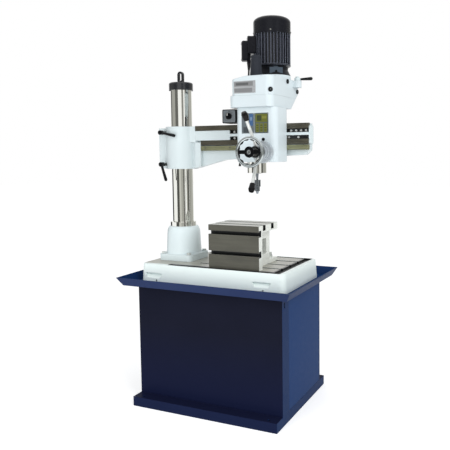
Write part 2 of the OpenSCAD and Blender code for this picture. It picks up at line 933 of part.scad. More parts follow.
module column_base() {
  r0 = bell_d / 2;
  r1 = bell_top_d / 2;
  foot_r = bell_foot_r;
  shoulder = r1 - ring_d / 2;
  color(casting_white) translate([column_x, 0, deck_z]) difference() {
    union() {
      linear_extrude(height = col_flange_t) round_rect(col_flange_w, col_flange_w, col_flange_r);
      translate([0, 0, col_flange_t]) rotate_extrude() polygon(concat(
        [[0, 0], [r0, 0]],
        [for (a = [0 : 15 : 90]) [r0 - foot_r * sin(a), foot_r - foot_r * cos(a)]],
        [for (a = [0 : 15 : 90]) [r1 - shoulder + shoulder * cos(a),
          bell_h - bell_shoulder_h + bell_shoulder_h * sin(a)]],
        [[0, bell_h]]));
    }
    translate([0, 0, -overrun])
      cylinder(d = column_d + 2 * seat_gap, h = col_flange_t + bell_h + 2 * overrun);
    for (x = [-1, 1], y = [-1, 1]) translate([x * col_bolt_pitch / 2, y * col_bolt_pitch / 2, -overrun])
      cylinder(d = column_bolt_d * clear_share, h = col_flange_t + 2 * overrun);
    for (x = [-1, 1], y = [-1, 1]) translate([x * col_bolt_pitch / 2, y * col_bolt_pitch / 2, col_flange_t])
      cylinder(d = column_bolt_d * hex_share + 2 * overrun, h = column_bolt_d * hex_share);
  }
}

module column_ring() {
  color(bright_steel) translate([column_x, 0, ring_z]) difference() {
    cylinder(d = ring_d, h = ring_h);
    translate([0, 0, -overrun]) cylinder(d = column_d + 2 * seat_gap, h = ring_h + 2 * overrun);
  }
}

module column() {
  color(bright_steel) translate([column_x, 0, deck_z]) difference() {
    cylinder(d = column_d, h = cap_z - deck_z);
    translate([0, 0, -overrun]) cylinder(d = column_d - 2 * column_wall, h = cap_z - deck_z + 2 * overrun);
  }
}

module column_cap() {
  r = cap_d / 2;
  color(black_paint) translate([column_x, 0, cap_z]) difference() {
    union() {
      rotate_extrude() polygon(concat([[0, 0], [r, 0]],
        [for (a = [0 : 15 : 90])
          [r - cap_edge_r + cap_edge_r * cos(a), cap_h - cap_edge_r + cap_edge_r * sin(a)]],
        [[0, cap_h]]));
      translate([0, 0, -cap_spigot])
        cylinder(d = column_d - 2 * column_wall - 2 * seat_gap, h = cap_spigot + overrun);
    }
    translate([0, 0, cap_h - cap_spigot]) cylinder(d = eye_t + 2 * seat_gap, h = cap_spigot + overrun);
  }
}

module lifting_eye() {
  stem = cap_spigot - overrun;
  color(black_paint) translate([column_x, 0, cap_z + cap_h]) {
    difference() {
      xz_slab(-eye_t / 2, eye_t / 2) {
        translate([0, eye_h - eye_w / 2]) circle(eye_w / 2);
        translate([-eye_w / 2, 0]) square([eye_w, eye_h - eye_w / 2]);
      }
      xz_slab(-eye_t, eye_t) {
        translate([0, eye_h - eye_w / 2]) circle(eye_open_w / 2);
        translate([0, eye_w / 2]) circle(eye_open_w / 2);
        translate([-eye_open_w / 2, eye_w / 2]) square([eye_open_w, eye_h - eye_w]);
      }
    }
    translate([0, 0, -stem]) cylinder(d = eye_t, h = stem);
  }
}

// Elevation

erack_pitch = PI * erack_module;
erack_gap_z = ring_top + face_gap;
erack_skip = floor((epinion_z - erack_gap_z) / erack_pitch);
erack_z = epinion_z - erack_skip * erack_pitch;
erack_count = floor((cap_z - face_gap - erack_z) / erack_pitch);

module elevating_rack() {
  color(steel_grey) difference() {
    union() {
      translate([column_x, erack_pitch_y, erack_z])
        yz_slab(-erack_w / 2, erack_w / 2) polygon(rack_points(erack_module, erack_count, erack_depth));
      translate([column_x - erack_w / 2, column_r, erack_gap_z])
        cube([erack_w, erack_depth - erack_module, cap_z - face_gap - erack_gap_z]);
    }
    translate([column_x, 0, ring_top]) cylinder(r = column_r + face_gap, h = column_rise);
  }
}

module elevating_pinion() {
  color(steel_grey) translate([column_x, epinion_y, epinion_z]) {
    rotate([90, 0, 90]) translate([0, 0, -epinion_w / 2]) gear(erack_module, erack_teeth, epinion_w, 180);
    x_bar(eshaft_d / 2, -ehouse_half + ehouse_wall / 2, -epinion_w / 2);
    x_bar(eshaft_d / 2, epinion_w / 2, ehouse_half + socket_gap + socket_l / 2 - face_gap);
  }
}

// Socket on the pinion shaft for a loose crank
module crank_socket() {
  color(steel_grey) translate([column_x + ehouse_half + socket_gap, epinion_y, epinion_z]) difference() {
    x_bar(socket_d / 2, 0, socket_l);
    x_bar(eshaft_d / 2 + seat_gap, -overrun, socket_l / 2);
    rotate([0, 90, 0]) cylinder(d = eshaft_d, h = socket_l + overrun, $fn = 4);
  }
}

// Arm

module arm_keel() {
  keel_z = boss_z + keel_root;
  end_z = rack_pitch_z - keel_end;
  mid_z = rack_pitch_z - keel_mid;
  sag_share = 0.16;
  flat_share = 0.36;
  polygon([
    [column_x + boss_r / 2, keel_z],
    [column_x + gusset_pad, keel_z],
    [column_x + arm_reach * flat_share, mid_z],
    [arm_end - arm_reach * sag_share, end_z - (end_z - mid_z) * sag_share],
    [arm_end - keel_chamfer, end_z],
    [arm_end, end_z + keel_chamfer],
    [arm_end, boss_top],
    [column_x + boss_r / 2, boss_top]]);
}

module arm_body() {
  ear_end = column_x - ear_reach;
  ear_top = boss_top - way_lip * 3;
  translate([column_x, 0, boss_z]) cylinder(r = boss_r, h = boss_h);
  xz_slab(-ear_half, ear_half) polygon([[ear_end, ear_top], [ear_end, boss_z + ear_chamfer],
    [ear_end + ear_chamfer / 2, boss_z + way_lip], [column_x, boss_z + way_lip], [column_x, ear_top]]);
  intersection() {
    translate([0, 0, boss_z]) linear_extrude(height = gusset_h) polygon([
      [column_x, -way_front + gusset_in], [column_x + gusset_pad, -way_front + gusset_in],
      [column_x + gusset_pad, -way_front], [column_x + lower_way_start, -way_front],
      [column_x + lower_way_start, beam_back], [column_x, boss_r - way_lip]]);
    xz_slab(-boss_r, boss_r) arm_keel();
  }
  translate([0, 0, boss_z + gusset_h]) linear_extrude(height = boss_h - gusset_h) polygon([
    [column_x, -boss_r + way_lip * 4], [column_x + upper_way_start, -way_front],
    [column_x + lower_way_start, beam_back], [column_x, boss_r - way_lip * 2]]);
  xz_slab(beam_face, beam_back) arm_keel();
  translate([column_x + upper_way_start - way_lip, -way_front + way_lip / 2, channel_z])
    cube([web_end - upper_way_start + way_lip, way_depth - way_lip / 2 + way_lip, channel_h]);
  translate([web_x - way_lip, -way_front, rib_mid - rib_h / 2])
    cube([arm_end - web_x + way_lip, rib_face_t, rib_h]);
  translate([web_x - way_lip, -way_front, rib_mid - rib_neck_h / 2])
    cube([arm_end - web_x + way_lip, way_depth + way_lip, rib_neck_h]);
  translate([column_x - ehouse_half, 0, epinion_z - ehouse_h / 2])
    cube([2 * ehouse_half, epinion_y + epinion_r + ehouse_wall, ehouse_h]);
}

module beam_panels() {
  count = 3;
  depth = beam_t / 3;
  margin = beam_t;
  x0 = column_x + lower_way_start + margin;
  pitch = (arm_end - margin / 2 - x0) / count;
  z0 = rack_pitch_z - keel_end / 2;
  for (i = [0 : count - 1]) translate([x0 + i * pitch, beam_back - depth, z0])
    cube([pitch - margin / 2, depth + overrun, boss_top - margin - z0]);
}

module arm_casting() {
  cavity_r = epinion_r + erack_module;
  color(casting_white) difference() {
    arm_body();
    beam_panels();
    translate([column_x, 0, boss_z - overrun]) cylinder(r = column_r + run_gap, h = boss_h + 2 * overrun);
    translate([column_x - ear_reach - overrun, -slit_w / 2, boss_z - overrun])
      cube([ear_reach + overrun, slit_w, boss_h + 2 * overrun]);
    translate([column_x - erack_w / 2 - face_gap, 0, boss_z - overrun])
      cube([erack_w + 2 * face_gap, erack_pitch_y + erack_module + face_gap, boss_h + 2 * overrun]);
    translate([column_x, epinion_y, epinion_z]) {
      x_bar(cavity_r, -epinion_w / 2 - face_gap, epinion_w / 2 + face_gap);
      x_bar(eshaft_d / 2 + run_gap, -ehouse_half + ehouse_wall / 2 - face_gap, ehouse_half + overrun);
    }
    for (z = stud_heights) translate([stud_x, 0, z]) {
      y_bar(stud_d / 2 + seat_gap, -boss_r, boss_r);
      y_bar(stud_d, ear_half - overrun, boss_r);
      y_bar(stud_d, -boss_r, overrun - ear_half);
    }
    translate([column_x + upper_way_start - face_gap, -boss_r, channel_top])
      cube([arm_reach, boss_r + beam_face, boss_h]);
    translate([column_x + lower_way_start - face_gap, -boss_r, rack_pitch_z - 2 * traverse_module])
      cube([arm_reach, boss_r + beam_face, channel_z - rack_pitch_z + 2 * traverse_module]);
  }
}

module arm_ways() {
  color(way_brown) {
    translate([column_x + upper_way_start, -way_front, channel_top])
      cube([arm_reach - upper_way_start, way_depth, upper_way_h]);
    translate([column_x + lower_way_start, -way_front, lower_way_z])
      cube([arm_reach - lower_way_start, way_depth, lower_way_h]);
  }
}

module arm_screw() {
  y_bar(screw_head_d / 2, -screw_head_h, 0);
}

module arm_screws() {
  span = arm_end - web_x - 2 * screw_margin;
  groove = (channel_h - rib_h) / 4 + rib_h / 2;
  color(bright_steel) {
    for (i = [0 : floor(span / upper_screw_pitch)])
      translate([web_x + screw_margin + i * upper_screw_pitch, beam_face, rib_mid + groove]) arm_screw();
    for (i = [0 : floor(span / lower_screw_pitch)])
      translate([web_x + screw_margin + i * lower_screw_pitch, beam_face, rib_mid - groove]) arm_screw();
  }
}

traverse_pitch = PI * traverse_module;
traverse_x0 = column_x + lower_way_start;
traverse_skip = floor((feed_x - traverse_x0) / traverse_pitch);
traverse_start = feed_x - traverse_skip * traverse_pitch;
traverse_count = floor((arm_end - traverse_start) / traverse_pitch);

module rack_screw_places() {
  for (x = [traverse_x0 + rack_screw_margin : rack_screw_pitch : arm_end - rack_screw_margin])
    translate([x, -way_front, rack_top - rack_h / 2 + way_lip]) children();
}

module traverse_rack() {
  color(rack_olive) difference() {
    xz_slab(-way_front, beam_face) translate([traverse_start, rack_pitch_z]) rotate(-90)
      polygon(rack_points(traverse_module, traverse_count, rack_h));
    rack_screw_places() y_bar(rack_screw_d / 2 + seat_gap, -overrun, screw_head_h + rack_screw_sink);
    rack_screw_places() y_bar(screw_shank_d / 2 + seat_gap, 0, way_depth + overrun);
  }
}

module rack_screws() {
  color(black_paint) rack_screw_places() {
    y_bar(rack_screw_d / 2, rack_screw_sink, screw_head_h + rack_screw_sink);
    y_bar(screw_shank_d / 2, screw_head_h, way_depth - seat_gap);
  }
}

module arm_end_plate() {
  mid = (beam_face + beam_back) / 2 - way_lip * 4;
  color(casting_white) translate([0, mid, lower_way_z + end_plate_h / 2])
    yz_slab(arm_end, arm_end + end_plate_t) round_rect(end_plate_d, end_plate_h, screw_margin / 2);
}

module clamp_studs() {
  color(steel_grey) for (z = stud_heights) translate([stud_x, 0, z]) {
    y_bar(stud_d / 2, -stud_out, ear_half + stud_d);
    translate([0, ear_half - overrun + stud_d * head_share, 0]) rotate([90, 0, 0])
      cylinder(d = stud_d * hex_share, h = stud_d * head_share, $fn = 6);
  }
}

module clamp_lever(turn) {
  front = -stud_out - clamp_hub_end;
  color(black_paint) difference() {
    union() {
      y_bar(clamp_hub_d / 2, front, front + clamp_hub_l);
      translate([0, front + clamp_grip_d / 2, 0]) rotate([0, 90 + turn, 0])
        taper_grip(clamp_grip_root_d, clamp_grip_d, clamp_grip_l);
    }
    y_bar(stud_d / 2 + run_gap, -stud_out - face_gap, front + clamp_hub_l + overrun);
  }
}

module upper_clamp_lever() {
  translate([stud_x, 0, stud_heights[1]]) clamp_lever(upper_lever_angle);
}

module lower_clamp_lever() {
  translate([stud_x, 0, stud_heights[0]]) clamp_lever(lower_lever_angle);
}

// Head

module head_casting() {
  color(casting_white) difference() {
    translate([0, 0, head_z]) linear_extrude(height = head_h)
      front_round(head_x0, head_x1, head_front, head_back, head_corner_r);
    translate([spindle_x, spindle_y, head_z - overrun])
      cylinder(r = quill_r + run_gap, h = head_h + 2 * overrun);
    translate([feed_x, 0, feed_z]) {
      y_bar(feed_bore_r, head_front - overrun, spindle_y + feed_pinion_w / 2 + face_gap);
      y_bar(wheel_shaft_r + run_gap, head_front, head_back + overrun);
    }
    translate([head_x0 + lock_in, head_front + lock_back, head_z - overrun])
      cylinder(d = lock_pin_d + 2 * run_gap, h = lock_pin_l + overrun);
    translate([feed_x, 0, feed_z + index_rise])
      y_bar(screw_shank_d / 2, head_front - overrun, head_front + screw_shank_l);
  }
}

module saddle_keepers() {
  x0 = head_x1 - keeper_l - way_lip;
  lip_y = -way_front + rib_face_t + face_gap;
  lip_t = way_depth - rib_face_t - screw_head_h - 3 * face_gap;
  lip_in = (rib_h - rib_neck_h) / 2 - face_gap;
  groove = (channel_h - rib_h) / 2 - 2 * face_gap;
  color(steel_grey) for (s = [-1, 1]) translate([0, 0, rib_mid]) mirror([0, 0, s < 0 ? 1 : 0])
    yz_slab(x0, x0 + keeper_l) polygon([
      [head_back, rib_h / 2 + face_gap], [lip_y, rib_h / 2 + face_gap],
      [lip_y, rib_h / 2 + face_gap - lip_in], [lip_y + lip_t, rib_h / 2 + face_gap - lip_in],
      [lip_y + lip_t, rib_h / 2 + face_gap + groove], [head_back, rib_h / 2 + face_gap + groove]]);
}

// Gearbox

module case_side(inset) {
  polygon([[case_y0 + inset, head_top + inset], [case_floor_y1 - inset / 2, head_top + inset],
    [case_y1 - inset, head_top + case_slant_h + inset / 2], [case_y1 - inset, roof_z - inset],
    [case_y0 + inset, roof_z - inset]]);
}

module cover_front(inset) {
  polygon([[case_x0 + inset, head_top], [case_x1 - inset, head_top], [case_x1 - inset, roof_z - inset],
    [case_x0 + cover_step + roof_slope_l, roof_z - inset], [case_x0 + inset, roof_z - roof_slope_h - inset]]);
}

module case_plan(x0, inset) {
  front_round(x0 + inset, case_x1 - inset, case_y0 + inset, case_y1 - inset, case_corner_r - inset);
}

module gearbox_shell(x0, z0, z1, inset) {
  intersection() {
    translate([0, 0, z0]) linear_extrude(height = z1 - z0) case_plan(x0, inset);
    yz_slab(case_x0 - overrun, case_x1 + overrun) case_side(inset);
    xz_slab(case_y0 - overrun, case_y1 + overrun) cover_front(inset);
  }
}

module gearbox_case() {
  color(casting_white) difference() {
    gearbox_shell(case_x0, head_top, cover_z, 0);
    gearbox_shell(case_x0, head_top + case_floor_t, cover_z + overrun, case_wall);
    translate([spindle_x, spindle_y, head_top - overrun])
      cylinder(d = sleeve_bearing_d + 2 * seat_gap, h = case_floor_t + 2 * overrun);
    translate([each lay_pos, head_top + case_floor_t - shaft_seat])
      cylinder(d = layshaft_d + 2 * run_gap, h = shaft_seat + overrun);
  }
}

module sleeve_bearing() {
  color(steel_grey) translate([spindle_x, spindle_y, head_top]) difference() {
    cylinder(d = sleeve_bearing_d, h = case_floor_t);
    translate([0, 0, -overrun]) cylinder(d = sleeve_d + 2 * run_gap, h = case_floor_t + 2 * overrun);
  }
}

module gearbox_cover() {
  lip = cover_step;
  boss_x = case_x1 + lever_boss_out;
  boss_z1 = roof_z - lever_boss_drop;
  color(casting_white) difference() {
    union() {
      gearbox_shell(case_x0 + lip, cover_z, roof_z, 0);
      translate([motor_x, motor_y, roof_z - overrun]) cylinder(r = motor_r, h = pad_h + overrun);
      translate([spindle_x, spindle_y, roof_z - roof_slope_h])
        cylinder(d = cover_tube_foot_d, h = roof_slope_h);
      translate([boss_x, lever_boss_y, boss_z1 - lever_boss_h]) cylinder(d = lever_boss_d, h = lever_boss_h);
      translate([case_x1 - case_wall, lever_boss_y - lever_boss_d / 2, boss_z1 - lever_boss_h])
        cube([case_wall + lever_boss_out, lever_boss_d, lever_boss_h]);
    }
    difference() {
      gearbox_shell(case_x0 + lip, cover_z - overrun, roof_z - case_floor_t, case_wall);
      translate([each lay_pos, roof_z - case_floor_t - shaft_seat])
        cylinder(d = layshaft_d * 2, h = shaft_seat + overrun);
    }
    translate([each lay_pos, roof_z - case_floor_t - shaft_seat - overrun])
      cylinder(d = layshaft_d + 2 * run_gap, h = shaft_seat + overrun);
    translate([motor_x, motor_y, roof_z - case_floor_t - overrun])
      cylinder(d = motor_shaft_d * 2, h = case_floor_t + pad_h + 2 * overrun);
    translate([spindle_x, spindle_y, roof_z - case_floor_t - overrun])
      cylinder(d = sleeve_d, h = case_floor_t + pad_h + 2 * overrun);
    translate([boss_x, lever_boss_y, boss_z1 - speed_pin_l])
      cylinder(d = speed_pin_d + 2 * run_gap, h = speed_pin_l + overrun);
    corner_plug_place() y_bar(plug_d / 2 + seat_gap, -plug_t, 0);
    translate(lead_end) cylinder(d = lead_d + 2 * face_gap, h = 2 * gland_h);
  }
}

cover_mid = cover_z + cover_h / 4;
plug_high_share = 0.85;
plug_rise_share = 0.7;

module corner_plug_place() {
  translate([case_x1 - case_corner_r, case_y0 + case_corner_r, cover_mid])
    rotate(45) translate([0, plug_sink - case_corner_r, 0]) children();
}

module blanking_plugs() {
  color(black_paint) {
    corner_plug_place() plug();
    translate([case_x1, motor_y - plug_d * 2, cover_z + cover_h * plug_high_share]) rotate([0, 0, 90]) plug();
    translate([case_x1, case_y1 - plug_d / 2 - way_lip, cover_mid + plug_d * plug_rise_share])
      rotate([0, 0, 90]) plug();
    translate([feed_x, head_front, feed_z + index_rise]) {
      y_bar(index_screw_d / 2, -plug_t / 2, 0);
      y_bar(screw_shank_d / 2 - seat_gap, 0, screw_shank_l - seat_gap);
    }
  }
}

module plug() {
  difference() {
    y_bar(plug_d / 2, -plug_t, 0);
    translate([0, -plug_t / 2, 0]) rotate([90, 0, 0]) cylinder(d = plug_socket_d, h = plug_t, $fn = 6);
  }
}

module switch_box() {
  color(black_paint) difference() {
    translate([switch_x0 + switch_w / 2, 0, switch_z + switch_h / 2])
      xz_slab(switch_y0, switch_y0 + switch_d) round_rect(switch_w, switch_h, switch_corner_r);
    translate([switch_x0 + switch_w / 2, 0, switch_z + switch_h / 2])
      xz_slab(switch_y0 - overrun, switch_y0 + switch_plate_t)
        round_rect(switch_w - 2 * switch_rim, switch_h - 2 * switch_rim, switch_corner_r);
    translate([switch_x0 + switch_w / 2, 0, switch_z + switch_h / 2])
      y_bar(switch_pin_d / 2 + run_gap, switch_y0, switch_y0 + switch_pin_l + switch_plate_t);
  }
}

module switch_plate() {
  rim = switch_rim + seat_gap;
  color(bright_steel) translate([switch_x0 + switch_w / 2, 0, switch_z + switch_h / 2]) difference() {
    xz_slab(switch_y0, switch_y0 + switch_plate_t)
      round_rect(switch_w - 2 * rim, switch_h - 2 * rim, switch_corner_r);
    y_bar(switch_pin_d / 2 + run_gap, switch_y0 - overrun, switch_y0 + switch_plate_t + overrun);
  }
}

module switch_knob() {
  y1 = switch_y0 - face_gap;
  color(black_paint) translate([switch_x0 + switch_w / 2, 0, switch_z + switch_h / 2]) {
    y_bar(switch_knob_d / 2, y1 - switch_knob_t / 3, y1);
    xz_slab(y1 - switch_knob_t, y1 - face_gap) round_rect(switch_bar_w, switch_knob_d, switch_bar_w / 3);
    y_bar(switch_pin_d / 2, y1 - face_gap, switch_y0 + switch_pin_l);
  }
}

module head_lock_knob() {
  color(black_paint) translate([head_x0 + lock_in, head_front + lock_back, head_z]) {
    translate([0, 0, -lock_drop]) cylinder(d = lock_pin_d, h = lock_drop + lock_pin_l - face_gap);
    translate([0, 0, -lock_drop - lock_knob_h]) cylinder(d1 = lock_knob_d, d2 = lock_pin_d, h = lock_knob_h);
  }
}

module speed_lever() {
  hub_z = roof_z - lever_boss_drop + face_gap;
  rod_z = hub_z + speed_hub_h / 2;
  color(black_paint) translate([case_x1 + lever_boss_out, lever_boss_y, 0]) {
    translate([0, 0, hub_z]) cylinder(d = speed_hub_d, h = speed_hub_h);
    translate([0, 0, hub_z + speed_hub_h]) cylinder(d = speed_cap_d, h = speed_cap_h);
    translate([0, 0, hub_z - speed_pin_l + face_gap]) cylinder(d = speed_pin_d, h = speed_pin_l);
    translate([0, 0, rod_z]) rotate([0, 90, 0]) taper_grip(speed_grip_root_d, speed_grip_d, speed_grip_l);
  }
}

// Motor

module motor_adapter() {
  waist = adapter_waist / 2;
  flare = motor_r - waist;
  color(black_paint) translate([motor_x, motor_y, adapter_z]) difference() {
    union() {
      cylinder(r1 = motor_r, r2 = waist, h = 2 * flare);
      translate([0, 0, 2 * flare]) cylinder(r = waist, h = adapter_h - 2 * flare);
      rotate(adapter_flat_angle) translate([waist / 2, -adapter_flat_w / 2, flare / 2])
        cube([adapter_flat_r - waist / 2, adapter_flat_w, adapter_h - flare]);
    }
    translate([0, 0, -overrun]) cylinder(d = motor_shaft_d * 2, h = adapter_h + 2 * overrun);
  }
}

module fin_outline() {
  step = 360 / fin_count;
  half_out = asin(fin_t / 2 / fin_r);
  half_in = asin(fin_t / motor_core_r * fin_root_share);
  polygon([for (i = [0 : fin_count - 1]) each [polar(motor_core_r, i * step - half_in),
    polar(fin_r, i * step - half_out), polar(fin_r, i * step + half_out),
    polar(motor_core_r, i * step + half_in)]]);
}

module motor_frame() {
  bore = rotor_d / 2 + 2 * face_gap;
  color(black_paint) translate([motor_x, motor_y, shield_z]) difference() {
    union() {
      cylinder(r1 = motor_core_r, r2 = motor_r, h = shield_h / 2);
      translate([0, 0, shield_h / 2]) cylinder(r = motor_r, h = shield_h / 2);
      translate([0, 0, shield_h]) linear_extrude(height = frame_h) fin_outline();
    }
    translate([0, 0, shield_h]) cylinder(r = bore, h = frame_h - rotor_end);
    translate([0, 0, -overrun]) cylinder(d = motor_shaft_d + 2 * run_gap, h = shield_h + frame_h + 2 * overrun);
  }
}

module cowl_profile(r, h) {
  polygon(concat([[0, 0], [r, 0]],
    [for (a = [0 : 15 : 90]) [r - cowl_edge_w * (1 - cos(a)), h - cowl_edge_h * (1 - sin(a))]], [[0, h]]));
}

module motor_cowl() {
  color(black_paint) translate([motor_x, motor_y, cowl_z]) difference() {
    rotate_extrude() cowl_profile(motor_r, cowl_h);
    translate([0, 0, -overrun]) rotate_extrude()
      cowl_profile(motor_r - cowl_t, cowl_h - cowl_t + overrun);
    for (i = [0 : cowl_slots - 1]) rotate(360 * i / cowl_slots)
      translate([cowl_hub_d / 2, -cowl_slot_w / 2, cowl_h - 2 * cowl_t])
      cube([cowl_slot_l, cowl_slot_w, 3 * cowl_t]);
  }
}

module terminal_box() {
  cover_top = terminal_mid + terminal_h / 4;
  cover_w = terminal_w * terminal_cover_share;
  color(black_paint) difference() {
    union() {
      translate([motor_x, motor_y, 0]) rotate(180 + terminal_angle) {
        translate([0, 0, terminal_mid])
          yz_slab(motor_core_r, terminal_x1) round_rect(terminal_w, terminal_h, switch_corner_r * 2);
        translate([0, 0, (terminal_low + cover_top) / 2])
          yz_slab(terminal_x1, terminal_x2) round_rect(cover_w, cover_top - terminal_low, switch_corner_r);
      }
      translate(lead_start - [0, 0, gland_h]) cylinder(d = gland_d, h = 2 * gland_h);
    }
    translate([motor_x, motor_y, frame_z]) cylinder(r = fin_r + seat_gap, h = frame_h);
    translate(lead_start - [0, 0, 2 * gland_h]) cylinder(d = lead_d + 2 * face_gap, h = 2 * gland_h + overrun);
  }
}

module motor_lead() {
  color(black_paint) tube_along(lead_route, lead_d / 2, lead_sides);
}

module motor_rotor() {
  core_z = frame_z + rotor_end;
  core_h = frame_h - 3 * rotor_end;
  pinion_z = high_gear_z;
  fan_z = cowl_z + rotor_end;
  color(steel_grey) translate([motor_x, motor_y, 0]) {
    translate([0, 0, core_z]) cylinder(d = rotor_d, h = core_h);
    translate([0, 0, pinion_z]) cylinder(d = motor_shaft_d, h = fan_z + fan_h - pinion_z);
    translate([0, 0, pinion_z])
      gear(gear_module, motor_teeth, gear_w, drive_angle + 180 + 180 / motor_teeth);
    translate([0, 0, fan_z]) {
      cylinder(d = motor_shaft_d * 2, h = fan_h / 3);
      for (i = [0 : fan_blades - 1]) rotate(360 * i / fan_blades) translate([0, -fan_blade_t / 2, 0])
        cube([fan_d / 2, fan_blade_t, fan_h]);
    }
  }
}

module layshaft() {
  z0 = head_top + case_floor_t - shaft_seat + face_gap;
  z1 = roof_z - case_floor_t - face_gap;
  color(steel_grey) translate([each lay_pos, 0]) {
    translate([0, 0, z0]) cylinder(d = layshaft_d, h = z1 - z0);
    translate([0, 0, low_gear_z])
      gear(gear_module, lay_small_teeth, gear_w, lay_angle + 180 + 180 / lay_small_teeth);
    translate([0, 0, high_gear_z]) gear(gear_module, lay_large_teeth, gear_w, drive_angle);
  }
}

module spindle_gear() {
  z1 = low_gear_z + gear_w;
  color(steel_grey) translate([spindle_x, spindle_y, 0]) difference() {
    union() {
      translate([0, 0, head_top]) cylinder(d = sleeve_d, h = z1 + gear_w / 2 - head_top);
      translate([0, 0, low_gear_z]) gear(gear_module, spindle_teeth, gear_w, lay_angle);
    }
    translate([0, 0, head_top - overrun]) cylinder(d = spline_d + 2 * run_gap, h = z1 + gear_w - head_top);
  }
}

module spindle_cover() {
  h = cover_tube_h;
  color(black_paint) translate([spindle_x, spindle_y, roof_z]) difference() {
    cylinder(d1 = cover_tube_foot_d, d2 = cover_tube_top_d, h = h);
    translate([0, 0, -overrun]) cylinder(d = cover_tube_top_d - 2 * cover_tube_wall, h = h - cover_tube_wall);
  }
}

// Feed and traverse

feed_flange_y0 = head_front - flange_t;
dial_y0 = feed_flange_y0 - face_gap - dial_w;
hub_y0 = dial_y0 - hub_l;
lever_root_y = dial_y0 - hub_l / 4;

module feed_flange() {
  spring_r = flange_d / 2 - flange_t / 3;
  bush_y1 = spindle_y - feed_pinion_w / 2 - face_gap;
  color(steel_grey) translate([feed_x, 0, feed_z]) difference() {
    union() {
      y_bar(flange_d / 2, feed_flange_y0, head_front);
      y_bar(feed_bore_r - seat_gap, head_front, bush_y1);
    }
    y_bar(feed_shaft_r + run_gap, feed_flange_y0 - overrun, bush_y1 + overrun);
    translate([spindle_x - feed_x, spindle_y, -flange_d]) cylinder(r = quill_r + face_gap, h = 2 * flange_d);
    difference() {
      y_bar(spring_r, head_front - spring_w - 2 * face_gap, head_front + overrun);
      y_bar(feed_bore_r - seat_gap, head_front - flange_t, head_front + 2 * overrun);
    }
  }
}

module return_spring() {
  r0 = feed_bore_r + spring_margin / 2;
  count = spring_turns * spring_steps;
  outer = [for (i = [0 : count])
    polar(r0 + spring_t + spring_pitch * i / spring_steps, 360 * i / spring_steps)];
  inner = [for (i = [count : -1 : 0]) polar(r0 + spring_pitch * i / spring_steps, 360 * i / spring_steps)];
  color(steel_grey) translate([feed_x, 0, feed_z])
    xz_slab(head_front - spring_w - face_gap, head_front - face_gap) polygon(concat(outer, inner));
}

module feed_shaft() {
  y1 = spindle_y + feed_pinion_w / 2;
  color(steel_grey) translate([feed_x, 0, feed_z]) difference() {
    union() {
      translate([0, y1, 0]) rotate([90, 0, 0]) gear(feed_module, feed_teeth, feed_pinion_w, 180);
      y_bar(feed_shaft_r, hub_y0, y1 - feed_pinion_w);
    }
    y_bar(wheel_shaft_r + run_gap, hub_y0 - overrun, y1 + overrun);
  }
}

module depth_dial() {
  color(bright_steel) translate([feed_x, 0, feed_z]) difference() {
    union() {
      y_bar(dial_d / 2, dial_y0 + dial_w / 4, dial_y0 + dial_w);
      y_bar(hub_d / 2 + plug_t, dial_y0, dial_y0 + dial_w / 4);
    }
    y_bar(feed_shaft_r + seat_gap, dial_y0 - overrun, dial_y0 + dial_w + overrun);
  }
}

// Places children along a coned lever
module lever_frame(i) {
  translate([feed_x, lever_root_y, feed_z])
    rotate([0, -lever_tilt + 180 * i, 0]) rotate([lever_cone, 0, 0]) children();
}

module feed_hub() {
  color(bright_steel) difference() {
    translate([feed_x, 0, feed_z]) y_bar(hub_d / 2, hub_y0, dial_y0);
    translate([feed_x, 0, feed_z]) y_bar(feed_shaft_r + seat_gap, hub_y0 - overrun, dial_y0 + overrun);
    for (i = [0, 1]) lever_frame(i) translate([0, 0, feed_shaft_r])
      cylinder(d = lever_d + 2 * seat_gap, h = hub_d);
  }
}

module feed_levers() {
  root = feed_shaft_r / cos(lever_cone) + lever_d * tan(lever_cone) / 2 + face_gap;
  color(bright_steel) for (i = [0, 1]) lever_frame(i)
    translate([0, 0, root]) cylinder(d = lever_d, h = lever_l - root);
}

knob_socket_share = 0.6;
knob_swell_share = 0.7;
knob_end_share = 0.72;

module feed_knobs() {
  socket = knob_l * knob_socket_share;
  swell = knob_l * knob_swell_share;
  start = lever_l - socket;
  color(black_paint) for (i = [0, 1]) lever_frame(i) difference() {
    union() {
      translate([0, 0, start]) cylinder(d1 = lever_d * hex_share, d2 = knob_d, h = swell);
      translate([0, 0, start + swell]) cylinder(d1 = knob_d, d2 = knob_d * knob_end_share, h = knob_l - swell);
    }
    translate([0, 0, start - overrun]) cylinder(d = lever_d + 2 * seat_gap, h = socket + overrun + seat_gap);
  }
}

wheel_y = head_front - wheel_out;
wheel_hub_l = 24;
wheel_spoke_w = 18;
wheel_spoke_t = 9;
wheel_inner_share = 0.77;
wheel_wave = 2.4;

module handwheel_shaft() {
  y1 = -way_front + way_lip + traverse_w;
  color(bright_steel) translate([feed_x, 0, feed_z]) {
    y_bar(wheel_shaft_r, wheel_y - wheel_hub_l, y1 - traverse_w);
    translate([0, y1, 0]) rotate([90, 0, 0]) gear(traverse_module, traverse_teeth, traverse_w, 90);
  }
}

module wheel_inner_outline() {
  r = wheel_d / 2 * wheel_inner_share;
  steps = wheel_scallops * 8;
  polygon([for (i = [0 : steps - 1])
    polar(r + wheel_wave * cos(wheel_scallops * 360 * i / steps), 360 * i / steps)]);
}

